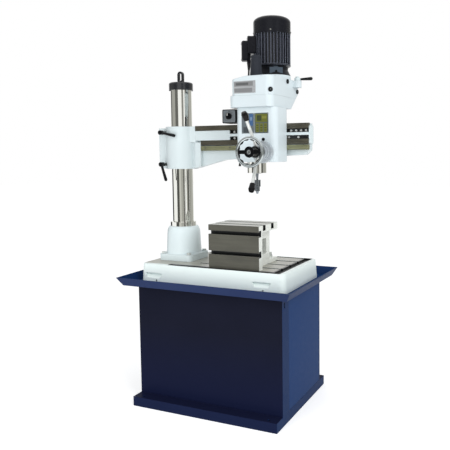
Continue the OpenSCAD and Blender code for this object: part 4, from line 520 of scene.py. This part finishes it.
FINISH = {
    "arm": ["arm_casting"],
    "casting": ["column_base", "arm_end_plate"],
    "head": ["head_casting", "gearbox_case", "gearbox_cover"],
    "base": ["base_casting"],
    "stand": ["stand_cabinet"],
    "panel": ["side_panel"],
    "foot": ["stand_feet"],
    "tray": ["chip_tray"],
    "table": ["box_table"],
    "chrome": ["column", "column_ring", "quill"],
    "bright": ["spindle"],
    "hub": ["feed_hub"],
    "chuck": ["drill_chuck"],
    "wheel": ["handwheel_rim"],
    "ways": ["arm_ways"],
    "rack": ["traverse_rack"],
    "zinc": ["hold_down_bolts", "table_bolts", "feed_levers"],
    "screws": ["arm_screws"],
    "lever": ["speed_lever"],
    "steel": ["crank_socket", "elevating_rack", "rack_screws", "clamp_studs", "elevating_pinion", "saddle_keepers",
              "sleeve_bearing", "motor_rotor", "layshaft", "spindle_gear", "return_spring", "feed_shaft",
              "quill_bearings"],
    "aluminium": ["feed_flange", "depth_dial"],
    "switch": ["switch_plate"],
    "black": ["motor_cowl", "terminal_box"],
    "fins": ["motor_frame"],
    "adapter": ["motor_adapter"],
    "tube": ["spindle_cover"],
    "gloss": ["column_cap", "lifting_eye"],
    "plastic": ["upper_clamp_lever", "lower_clamp_lever", "switch_box", "switch_knob", "head_lock_knob",
                "feed_knobs", "handwheel_hub", "handwheel_shaft", "blanking_plugs"],
    "rubber": ["motor_lead"],
}


def set_material(obj, mat):
    obj.data.materials.clear()
    obj.data.materials.append(mat)


def finish_nodes():
    for key, names in FINISH.items():
        for name in names:
            set_material(NODES[name], MATERIALS[key])


# Making pieces

def add_object(name, data, mat, body):
    """Piece that rides on a body and takes its finish from a slot."""
    obj = bpy.data.objects.new(name, data)
    bpy.context.scene.collection.objects.link(obj)
    set_material(obj, mat)
    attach(obj, body)
    return obj


def add_piece(name, bm, mat, body, smooth=False):
    """Piece from a bmesh, which is used up."""
    bmesh.ops.recalc_face_normals(bm, faces=bm.faces)
    mesh = bpy.data.meshes.new(name)
    bm.to_mesh(mesh)
    bm.free()
    if smooth:
        mesh.shade_smooth()
    return add_object(name, mesh, mat, body)


def facing(at, direction):
    """Frame at a point with +Z along a direction."""
    turn = Vector(direction).to_track_quat("Z", "Y").to_matrix().to_4x4()
    return Matrix.Translation(at) @ turn


def rounded_outline(w, h, r, steps=6):
    """Points round a rectangle with round corners."""
    points = []
    for quarter, (side, end) in enumerate(((1, 1), (-1, 1), (-1, -1), (1, -1))):
        for i in range(steps + 1):
            a = math.radians(90 * quarter + 90 * i / steps)
            points.append((side * (w / 2 - r) + r * math.cos(a), end * (h / 2 - r) + r * math.sin(a)))
    return points


def loft(bm, rings):
    """Closed skin through rings of vertices that are equal in number."""
    count = len(rings[0])
    for low, high in zip(rings, rings[1:]):
        for i in range(count):
            j = (i + 1) % count
            bm.faces.new((low[i], low[j], high[j], high[i]))
    bm.faces.new(rings[-1])
    bm.faces.new(list(reversed(rings[0])))


PLATE_EDGE, LEAST_PLATE_R = 0.0004, 0.0002


def front_plate(bm, centre, w, h, r, t):
    """Rounded plate facing -Y whose back lies on the centre's plane."""
    outer = rounded_outline(w, h, r)
    inner = rounded_outline(w - 2 * PLATE_EDGE, h - 2 * PLATE_EDGE, max(r - PLATE_EDGE, LEAST_PLATE_R))
    loft(bm, [[bm.verts.new((centre.x + x, centre.y + y, centre.z + z)) for x, z in points]
              for points, y in ((outer, 0.0), (outer, -t + PLATE_EDGE), (inner, -t))])


LEAST_BLOCK_R = 0.0005


def rounded_block(bm, matrix, w, h, r, depth, edge, steps=5):
    """Block along a frame's Z with round corners and a rounded far edge."""
    levels = [(0.0, 0.0)]
    for i in range(steps + 1):
        a = math.pi / 2 * i / steps
        levels.append((depth - edge + edge * math.sin(a), edge * (1 - math.cos(a))))
    rings = []
    for z, inset in levels:
        points = rounded_outline(w - 2 * inset, h - 2 * inset, max(r - inset, LEAST_BLOCK_R))
        rings.append([bm.verts.new(matrix @ Vector((x, y, z))) for x, y in points])
    loft(bm, rings)


def revolve(bm, profile, matrix, steps):
    """Turns a profile of (radius, height) points about a frame's Z."""
    rings = []
    for r, z in profile:
        turns = [math.tau * i / steps for i in range(steps)] if r else [0.0]
        rings.append([bm.verts.new(matrix @ Vector((r * math.cos(a), r * math.sin(a), z))) for a in turns])
    for low, high in zip(rings, rings[1:]):
        for i in range(steps):
            j = (i + 1) % steps
            if len(low) == 1:
                bm.faces.new((low[0], high[i], high[j]))
            elif len(high) == 1:
                bm.faces.new((low[i], low[j], high[0]))
            else:
                bm.faces.new((low[i], low[j], high[j], high[i]))


def dome(r, h, steps=5, rim=0.35):
    """Profile of a round head whose rim takes a share of its height."""
    quarter = [math.pi / 2 * i / steps for i in range(steps)]
    return [(r, 0.0)] + [(r * math.cos(a), h * (rim + (1 - rim) * math.sin(a))) for a in quarter] + [(0.0, h)]


def socket_head(r, h):
    """Profile of a screw head with a socket, in shares of its radius and height."""
    return [(r, 0.0), (r, h * 0.85), (r * 0.9, h), (r * 0.55, h), (r * 0.5, h * 0.45), (0.0, h * 0.4)]


HEXAGON = 6
ROUNDING_SHARE = 0.18


def bar(bm, matrix, size):
    """Box with small rounded edges, in a frame."""
    made = bmesh.ops.create_cube(bm, size=1.0, matrix=matrix @ Matrix.Diagonal((*size, 1.0)))
    edges = list({e for v in made["verts"] for e in v.link_edges})
    bmesh.ops.bevel(bm, geom=edges, offset=min(size) * ROUNDING_SHARE, segments=2, affect="EDGES")


# Plates: X and Z limits, and the rectangles printed on each by colour and limits

NAME_X, NAME_Z = (0.127, 0.241), (1.5595, 1.6165)
LEFT_X, RIGHT_X, LABEL_Z = (0.1555, 0.2205), (0.2225, 0.2956), (1.372, 1.467)
PLATE_T, PLATE_R = 0.0014, 0.002
RIVET_R, RIVET_H, RIVET_MARGIN = 0.0016, 0.0008, 0.007

NAME_PRINT = [
    (srgb(150, 151, 152), (0.131, 0.228), (1.592, 1.6125)),
    (srgb(112, 113, 114), (0.139, 0.204), (1.597, 1.608)),
    (srgb(150, 151, 153), (0.131, 0.224), (1.564, 1.583)),
]
LEFT_PRINT = [
    (srgb(116, 125, 130), LEFT_X, LABEL_Z),
    (srgb(78, 112, 158), (0.196, 0.216), (1.408, 1.464)),
    (srgb(134, 158, 188), (0.2005, 0.2115), (1.432, 1.448)),
    (srgb(80, 86, 90), (0.165, 0.193), (1.376, 1.402)),
]
RIGHT_PRINT = [
    (srgb(104, 112, 108), RIGHT_X, LABEL_Z),
    (srgb(118, 124, 58), (0.229, 0.2906), (1.424, 1.462)),
    (srgb(76, 84, 58), (0.236, 0.260), (1.430, 1.456)),
    (srgb(146, 148, 74), (0.262, 0.286), (1.440, 1.452)),
]
CELL_OLIVE, CELL_LINE = srgb(126, 130, 62), srgb(74, 84, 56)
CELL_W, CELL_Z, CELL_MARGIN, CELL_LINE_H = 0.0165, (1.378, 1.418), 0.003, 0.004
for left in (0.2300, 0.2510, 0.2720):
    right = left + CELL_W
    RIGHT_PRINT.append((CELL_OLIVE, (left, right), CELL_Z))
    for foot in (1.3840, 1.3955, 1.4070):
        RIGHT_PRINT.append((CELL_LINE, (left + CELL_MARGIN, right - CELL_MARGIN), (foot, foot + CELL_LINE_H)))


def printed(blocks):
    """Tweak that prints rectangles on a plate."""
    def tweak(net, colour):
        for ink, x, z in blocks:
            colour = inside(net, colour, ink, x=x, z=z)
        return colour
    return tweak


def one_plate(name, x, z, y, blocks):
    """Printed plate on the face at y, with four rivets."""
    w, h = x[1] - x[0], z[1] - z[0]
    centre = Vector(((x[0] + x[1]) / 2, y, (z[0] + z[1]) / 2))
    mat = metal(name + "_print", srgb(206, 208, 210), srgb(172, 174, 176), stretch=PLATE_STRETCH,
                scale=260.0, metallic=0.35, bevel=0.0005, bump=0.05, depth=0.0002, tweak=printed(blocks))
    bm = bmesh.new()
    front_plate(bm, centre, w, h, PLATE_R, PLATE_T)
    add_piece(name, bm, mat, "head")
    rivets = bmesh.new()
    for side, end in CORNERS:
        at = centre + Vector((side * (w - RIVET_MARGIN) / 2, -PLATE_T, end * (h - RIVET_MARGIN) / 2))
        revolve(rivets, dome(RIVET_R, RIVET_H), facing(at, FORWARD), steps=12)
    add_piece(name + "_rivets", rivets, MATERIALS["bright"], "head", smooth=True)


def build_plates():
    one_plate("name_plate", NAME_X, NAME_Z, CASE_FRONT_Y, NAME_PRINT)
    one_plate("feed_plate", LEFT_X, LABEL_Z, HEAD_FRONT_Y, LEFT_PRINT)
    one_plate("speed_plate", RIGHT_X, LABEL_Z, HEAD_FRONT_Y, RIGHT_PRINT)


# Marks on the dial and the switch

DIAL_R, DIAL_BACK_Y = 0.042, -0.1806
DIAL_MARKS, LONG_EVERY = 60, 5
LONG_MARK, SHORT_MARK = 0.009, 0.0055
MARK_T, MARK_W, MARK_SETBACK = 0.0003, 0.0007, 0.001


def build_dial_marks():
    """Graduation round the depth dial, with every fifth line longer."""
    bm = bmesh.new()
    for i in range(DIAL_MARKS):
        a = math.tau * i / DIAL_MARKS
        length = SHORT_MARK if i % LONG_EVERY else LONG_MARK
        at = on_feed_axis(DIAL_BACK_Y - MARK_SETBACK - length / 2) + clock(a) * DIAL_R
        bar(bm, Matrix.Translation(at) @ Matrix.Rotation(-a, 4, "Y"), (MARK_T, length, MARK_W))
    add_piece("dial_marks", bm, MATERIALS["rubber"], "feed")


# Sizes along X, Y and Z
POINTER, POINTER_PLACE = (0.0022, 0.0006, 0.013), Vector((0, -0.0204, 0.008))
SWITCH_MARK, SWITCH_MARK_R, SWITCH_MARK_SINK = (0.002, 0.0005, 0.006), 0.0225, 0.0001


def build_switch_marks():
    """White pointer on the switch knob and three marks on its plate."""
    bm = bmesh.new()
    bar(bm, Matrix.Translation(SWITCH + POINTER_PLACE), POINTER)
    add_piece("switch_pointer", bm, MATERIALS["pointer"], "switch")
    marks = bmesh.new()
    for degrees in (-45, 0, 45):
        turn = math.radians(degrees)
        x, z = SWITCH_MARK_R * math.sin(turn), SWITCH_MARK_R * math.cos(turn)
        at = SWITCH + Vector((x, -SWITCH_MARK_SINK, z))
        bar(marks, Matrix.Translation(at) @ Matrix.Rotation(turn, 4, "Y"), SWITCH_MARK)
    add_piece("switch_marks", marks, MATERIALS["rubber"], "head")


# Motor trim; a place is a reach from the motor's axis and a height

COWL_SCREW, COWL_SCREW_PLACE = (0.0045, 0.0028), (0.0928, 1.8745)
ADAPTER_PLUG, ADAPTER_PLUG_PLACE = (0.0055, 0.003), (0.0858, 1.677)


def build_motor_trim():
    """Four screws round the fan cowl and the plug on the adapter's flat."""
    bm = bmesh.new()
    for degrees in (20, 110, 200, 290):
        out = bearing(degrees)
        revolve(bm, dome(*COWL_SCREW), facing(round_motor(out, *COWL_SCREW_PLACE), out), steps=14)
    add_piece("cowl_screws", bm, MATERIALS["steel"], "head", smooth=True)
    plug = bmesh.new()
    place = facing(round_motor(FLAT_OUT, *ADAPTER_PLUG_PLACE), FLAT_OUT)
    revolve(plug, socket_head(*ADAPTER_PLUG), place, steps=18)
    add_piece("adapter_plug", plug, MATERIALS["plastic"], "head")


TERMINAL_OUT = bearing(210)
# Blocks by width, height, corner radius, depth and edge radius
TERMINAL_BODY, TERMINAL_BODY_PLACE = (0.074, 0.086, 0.010, 0.0405, 0.003), (0.084, 1.8112)
TERMINAL_COVER, TERMINAL_COVER_PLACE = (0.0592, 0.0985, 0.012, 0.0282, 0.009), (0.1248, 1.78345)
COVER_SCREW, COVER_SCREW_PLACE = (0.0034, 0.0022), (0.0195, 0.0392, 0.0278)
GLAND_AT = round_motor(TERMINAL_OUT, 0.1165, 1.7242)
GLAND_NUT = [(0.0, 0.0), (0.0098, 0.0), (0.0112, 0.0012), (0.0112, 0.0138), (0.0098, 0.0150)]
GLAND_NECK = [(0.0098, 0.0150), (0.0092, 0.0150), (0.0092, 0.0450), (0.0, 0.0450)]


def build_terminal_box():
    """Terminal body, rounded cover with four screws, and a hexagon gland."""
    bm = bmesh.new()
    body = facing(round_motor(TERMINAL_OUT, *TERMINAL_BODY_PLACE), TERMINAL_OUT)
    cover = facing(round_motor(TERMINAL_OUT, *TERMINAL_COVER_PLACE), TERMINAL_OUT)
    rounded_block(bm, body, *TERMINAL_BODY)
    rounded_block(bm, cover, *TERMINAL_COVER)
    revolve(bm, GLAND_NUT, Matrix.Translation(GLAND_AT), steps=HEXAGON)
    revolve(bm, GLAND_NECK, Matrix.Translation(GLAND_AT), steps=24)
    obj = add_piece("terminal_housing", bm, MATERIALS["black"], "head")
    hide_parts("terminal_box")
    screws = bmesh.new()
    across, along, proud = COVER_SCREW_PLACE
    for side, end in CORNERS:
        at = cover @ Vector((side * across, end * along, proud))
        revolve(screws, socket_head(*COVER_SCREW), facing(at, TERMINAL_OUT), steps=14)
    add_piece("terminal_screws", screws, MATERIALS["steel"], "head")


TUBE_TOP_Z = 1.735
TUBE_CAP = [(0.0, -0.002), (0.0246, -0.002), (0.0256, 0.0), (0.0256, 0.006), (0.0246, 0.0085), (0.0215, 0.0103),
            (0.012, 0.0112), (0.0, 0.0115)]


def build_tube_cap():
    """Rounded cap that closes the spindle cover's top."""
    bm = bmesh.new()
    revolve(bm, TUBE_CAP, Matrix.Translation(SPINDLE + Vector((0, 0, TUBE_TOP_Z))), steps=40)
    add_piece("tube_cap", bm, MATERIALS["tube"], "head", smooth=True)


# Handwheel hub; each front end is what lies before a Y, and moves back by a distance

SHAFT_END_Y, SHAFT_SETBACK = -0.320, 0.0168
HUB_END_Y, HUB_SETBACK = -0.315, 0.0068
WASHER_Y, NUT_Y = -0.3108, -0.3134
WASHER = [(0.0085, 0.0), (0.0245, 0.0), (0.0252, 0.0007), (0.0252, 0.0020), (0.0243, 0.0027), (0.0085, 0.0027),
          (0.0085, 0.0)]
WHEEL_NUT = (0.0098, 0.0045)
WELD = 1e-6


def trimmed_copy(node, name, end_y, setback):
    """Copy of a handwheel node whose front end is set back."""
    bm = bmesh.new()
    bm.from_mesh(NODES[node].data)
    for vert in bm.verts:
        if vert.co.y < end_y:
            vert.co.y += setback
    obj = add_piece(name, bm, MATERIALS["plastic"], "wheel")
    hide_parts(node)


def build_wheel_hub():
    """Handwheel's hub and shaft end as short as in the photo, with a washer and a nut."""
    trimmed_copy("handwheel_shaft", "wheel_shaft", SHAFT_END_Y, SHAFT_SETBACK)
    trimmed_copy("handwheel_hub", "wheel_spokes", HUB_END_Y, HUB_SETBACK)
    washer = bmesh.new()
    revolve(washer, WASHER, facing(on_feed_axis(WASHER_Y), FORWARD), steps=40)
    bmesh.ops.remove_doubles(washer, verts=washer.verts, dist=WELD)
    add_piece("wheel_washer", washer, MATERIALS["plastic"], "wheel")
    nut = bmesh.new()
    revolve(nut, socket_head(*WHEEL_NUT), facing(on_feed_axis(NUT_Y), FORWARD), steps=24)
    add_piece("wheel_nut", nut, MATERIALS["bright"], "wheel")


# Small screws and plugs; each is a radius and a height

HUB_SCREW, HUB_SCREW_Y, HUB_SCREW_REACH = (0.0032, 0.0018), -0.2105, 0.0267
HUB_SCREW_TURN = math.radians(-15)


def build_hub_screw():
    """Set screw in the side of the feed hub, close to the dial."""
    bm = bmesh.new()
    out = clock(HUB_SCREW_TURN)
    at = on_feed_axis(HUB_SCREW_Y) + out * HUB_SCREW_REACH
    revolve(bm, socket_head(*HUB_SCREW), facing(at, out), steps=16)
    add_piece("hub_screw", bm, MATERIALS["plastic"], "feed")


FOOT_SCREW, FOOT_SCREW_Y = (0.0038, 0.003), -0.2166
FOOT_SCREWS_XZ = [(-0.3139, 0.6345), (0.2865, 0.6325)]


def build_foot_screws():
    """Small jack screws low on the base's front."""
    bm = bmesh.new()
    for x, z in FOOT_SCREWS_XZ:
        revolve(bm, socket_head(*FOOT_SCREW), facing(Vector((x, FOOT_SCREW_Y, z)), FORWARD), steps=16)
    add_piece("foot_screws", bm, MATERIALS["plastic"], "base")


# Outer faces of the gearbox plugs: place and outward direction
PLUG_FACES = [((0.31545, -0.17375, 1.5725), (1, -1, 0)), ((0.328, 0.0077, 1.6265), (1, 0, 0)),
              ((0.328, 0.134, 1.5879), (1, 0, 0))]
PLUG_SOCKET_DEEP = 0.003
INSERT_R, INSERT_H = 0.0047, 0.0026
INSERT = [(0.0, 0.0), (INSERT_R, 0.0), (INSERT_R, INSERT_H), (INSERT_R * 0.6, INSERT_H),
          (INSERT_R * 0.5, INSERT_H * 0.7), (0.0, INSERT_H * 0.6)]


def build_plug_inserts():
    """Steel hexagon inserts in the sockets of the gearbox plugs."""
    bm = bmesh.new()
    for at, out in PLUG_FACES:
        socket_floor = Vector(at) - Vector(out).normalized() * PLUG_SOCKET_DEEP
        revolve(bm, INSERT, facing(socket_floor, out), steps=HEXAGON)
    add_piece("plug_inserts", bm, MATERIALS["hub"], "head")


# Motor lead, from the gland into the gearbox roof

LEAD_STEPS = 28
LEAD_R, LEAD_SIDE_STEPS = 0.0044, 5
LEAD_HALF, LEAD_TUCK = 0.0045, 0.001
RELIEF_STEPS, RELIEF_SIDES = slice(2, 12), 20
RELIEF_R, RELIEF_TAPER = 0.0102, 0.0048


def lead_points():
    """Points down the lead, which leaves and enters upright."""
    lo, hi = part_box("motor_lead")
    start = Vector((GLAND_AT.x, GLAND_AT.y, hi.z - LEAD_TUCK))
    end = Vector((hi.x - LEAD_HALF, lo.y + LEAD_HALF, lo.z + LEAD_TUCK))
    points = []
    for i in range(LEAD_STEPS + 1):
        down = i / LEAD_STEPS
        aside = start.lerp(end, (1 - math.cos(math.pi * down)) / 2)
        points.append(Vector((aside.x, aside.y, start.lerp(end, down).z)))
    return points


def build_lead():
    """Rubber-covered lead."""
    curve = bpy.data.curves.new("lead_sleeve", "CURVE")
    curve.dimensions = "3D"
    curve.bevel_depth = LEAD_R
    curve.bevel_resolution = LEAD_SIDE_STEPS
    curve.use_fill_caps = True
    spline = curve.splines.new("POLY")
    points = lead_points()
    spline.points.add(len(points) - 1)
    for target, point in zip(spline.points, points):
        target.co = (*point, 1.0)
    obj = add_object("lead_sleeve", curve, MATERIALS["rubber"], "head")
    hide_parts("motor_lead")


def build_lead_relief():
    """Tapered rubber sleeve where the lead leaves its gland."""
    bm = bmesh.new()
    points = lead_points()[RELIEF_STEPS]
    rings = []
    for i, point in enumerate(points):
        r = RELIEF_R - RELIEF_TAPER * i / (len(points) - 1)
        rings.append([bm.verts.new(point + bearing(360 * k / RELIEF_SIDES) * r) for k in range(RELIEF_SIDES)])
    loft(bm, rings)
    add_piece("lead_relief", bm, MATERIALS["rubber"], "head", smooth=True)


# Studio

FLOOR_SIZE = 40.0
FLOOR_TONE, FLOOR_GLOW = rgba(0.9, 0.9, 0.9), 0.42
STUDIO_WHITE, STUDIO_LIGHT = rgba(1.0, 1.0, 1.0), rgba(0.66, 0.67, 0.68)


def stage_material(name):
    """Material without its Principled shader: itself, its net and its surface socket."""
    mat = bpy.data.materials.new(name)
    mat.use_nodes = True
    nodes = mat.node_tree.nodes
    nodes.remove(nodes["Principled BSDF"])
    return mat, Net(mat.node_tree), nodes["Material Output"].inputs["Surface"]


def seen_directly(net):
    """One for what the camera sees, straight, mirrored or through glass."""
    path = net.add("ShaderNodeLightPath").outputs
    shown = net.math("ADD", path["Is Camera Ray"], path["Is Glossy Ray"], clamp=True)
    return net.math("ADD", shown, path["Is Transmission Ray"], clamp=True)


def build_floor():
    """Pale floor that shows white and keeps the shadow."""
    bpy.ops.mesh.primitive_plane_add(size=FLOOR_SIZE, location=(0, 0, 0))
    floor = bpy.context.object
    floor.name = "floor"
    mat, net, surface = stage_material("floor_white")
    matt = net.add("ShaderNodeBsdfDiffuse", Color=FLOOR_TONE).outputs[0]
    glow = net.add("ShaderNodeEmission", Color=STUDIO_WHITE, Strength=FLOOR_GLOW).outputs[0]
    lit = net.add("ShaderNodeAddShader")
    pick = net.add("ShaderNodeMixShader")
    for node, values in ((lit, (matt, glow)), (pick, (seen_directly(net), matt, lit.outputs[0]))):
        for value, socket in zip(values, node.inputs):
            net.put(value, socket)
    net.put(pick.outputs[0], surface)
    set_material(floor, mat)


def build_world():
    """World that shows white and lights the machine a little less."""
    world = bpy.data.worlds.new("studio")
    bpy.context.scene.world = world
    world.use_nodes = True
    net = Net(world.node_tree)
    back = world.node_tree.nodes["Background"].inputs
    net.put(net.mix(seen_directly(net), STUDIO_LIGHT, STUDIO_WHITE), back["Color"])
    back["Strength"].default_value = 1.0


# Cards seen only in reflections, in two tiers by height: bearing from the column and half width, both in
# degrees, and brightness
CARD_TIERS = [
    (0.0, 1.3, [(148, 30, 0.03), (-112, 14, 0.09), (-88, 10, 0.60), (-66, 12, 0.42), (-48, 6, 0.13),
                (-37, 4, 0.42), (-14, 5, 0.46), (2, 11, 0.12), (25, 10, 0.36), (55, 20, 0.44)]),
    (1.3, 3.3, [(171, 12, 0.09), (-152, 25, 0.40), (-110, 17, 0.15), (-45, 10, 0.28), (-16, 6, 0.36),
                (10, 20, 0.23), (56, 26, 0.44)]),
]
CARD_DISTANCE = 5.0
CARD_TINT = rgba(1.0, 1.0, 0.94)
HIDDEN_FROM = ("camera", "diffuse", "shadow", "transmission", "volume_scatter")


def reflection_card(name, degrees, half, level, low, high):
    """Upright glowing card that faces the column."""
    out = bearing(degrees)
    wide = 2 * CARD_DISTANCE * math.tan(math.radians(half))
    bpy.ops.mesh.primitive_plane_add(size=1.0)
    card = bpy.context.object
    card.name = name
    at = Vector((COLUMN_X, 0, (low + high) / 2)) + out * CARD_DISTANCE
    card.matrix_world = facing(at, -out) @ Matrix.Diagonal((wide, high - low, 1, 1))
    mat, net, surface = stage_material(name + "_tone")
    net.put(net.add("ShaderNodeEmission", Color=CARD_TINT, Strength=level).outputs[0], surface)
    set_material(card, mat)
    for rays in HIDDEN_FROM:
        setattr(card, "visible_" + rays, False)


def build_cards():
    for tier, (low, high, cards) in enumerate(CARD_TIERS):
        for i, (degrees, half, level) in enumerate(cards):
            reflection_card(f"card_{tier}_{i}", degrees, half, level, low, high)


# Lamps: place, aim, size in metres, watts
LIGHTS = [
    ("key", (-1.6, -3.9, 2.2), (0.0, 0.0, 1.0), 2.6, 13.0),
    ("fill", (3.4, -2.0, 2.4), (0.0, 0.0, 1.0), 2.4, 82.0),
    ("low", (-0.4, -3.8, 1.2), (0.0, 0.0, 1.0), 2.6, 8.0),
    ("base_wash", (-0.3, -1.75, 0.62), (0.0, -0.2, 0.69), 0.9, 8.0),
]


def build_lights():
    """Square lamps, left out of reflections so that the metal shows only the cards and the white."""
    for name, at, aim, size, power in LIGHTS:
        data = bpy.data.lights.new(name, "AREA")
        data.shape = "SQUARE"
        data.size = size
        data.energy = power
        light = bpy.data.objects.new(name, data)
        bpy.context.scene.collection.objects.link(light)
        light.location = at
        light.rotation_euler = (Vector(aim) - Vector(at)).to_track_quat("-Z", "Y").to_euler()
        light.visible_camera = False
        light.visible_glossy = False


def build_camera():
    """Camera at the photo's place, tilt and framing."""
    data = bpy.data.cameras.new("photo_camera")
    data.sensor_fit = "HORIZONTAL"
    data.sensor_width = SENSOR_MM
    data.lens = SENSOR_MM * FOCAL_PX / IMAGE_PX
    data.shift_x = 0.5 - CENTRE_PX[0] / IMAGE_PX
    data.shift_y = CENTRE_PX[1] / IMAGE_PX - 0.5
    data.clip_start = NEAR_CLIP
    data.clip_end = FAR_CLIP
    ahead = Vector((-math.sin(YAW) * math.cos(PITCH), math.cos(YAW) * math.cos(PITCH), -math.sin(PITCH)))
    right = Vector((math.cos(YAW), math.sin(YAW), 0.0))
    up = right.cross(ahead)
    side = right * math.cos(ROLL) + up * math.sin(ROLL)
    top = -right * math.sin(ROLL) + up * math.cos(ROLL)
    camera = bpy.data.objects.new("photo_camera", data)
    bpy.context.scene.collection.objects.link(camera)
    camera.matrix_world = Matrix.Translation(CAMERA_AT) @ Matrix((side, top, -ahead)).transposed().to_4x4()
    bpy.context.scene.camera = camera


for build in (finish_nodes, build_plates, build_dial_marks, build_switch_marks, build_motor_trim,
              build_terminal_box, build_tube_cap, build_wheel_hub, build_hub_screw, build_foot_screws,
              build_plug_inserts, build_lead, build_lead_relief, build_floor, build_world, build_cards,
              build_lights, build_camera):
    build()
bpy.context.scene.view_settings.view_transform = "Standard"
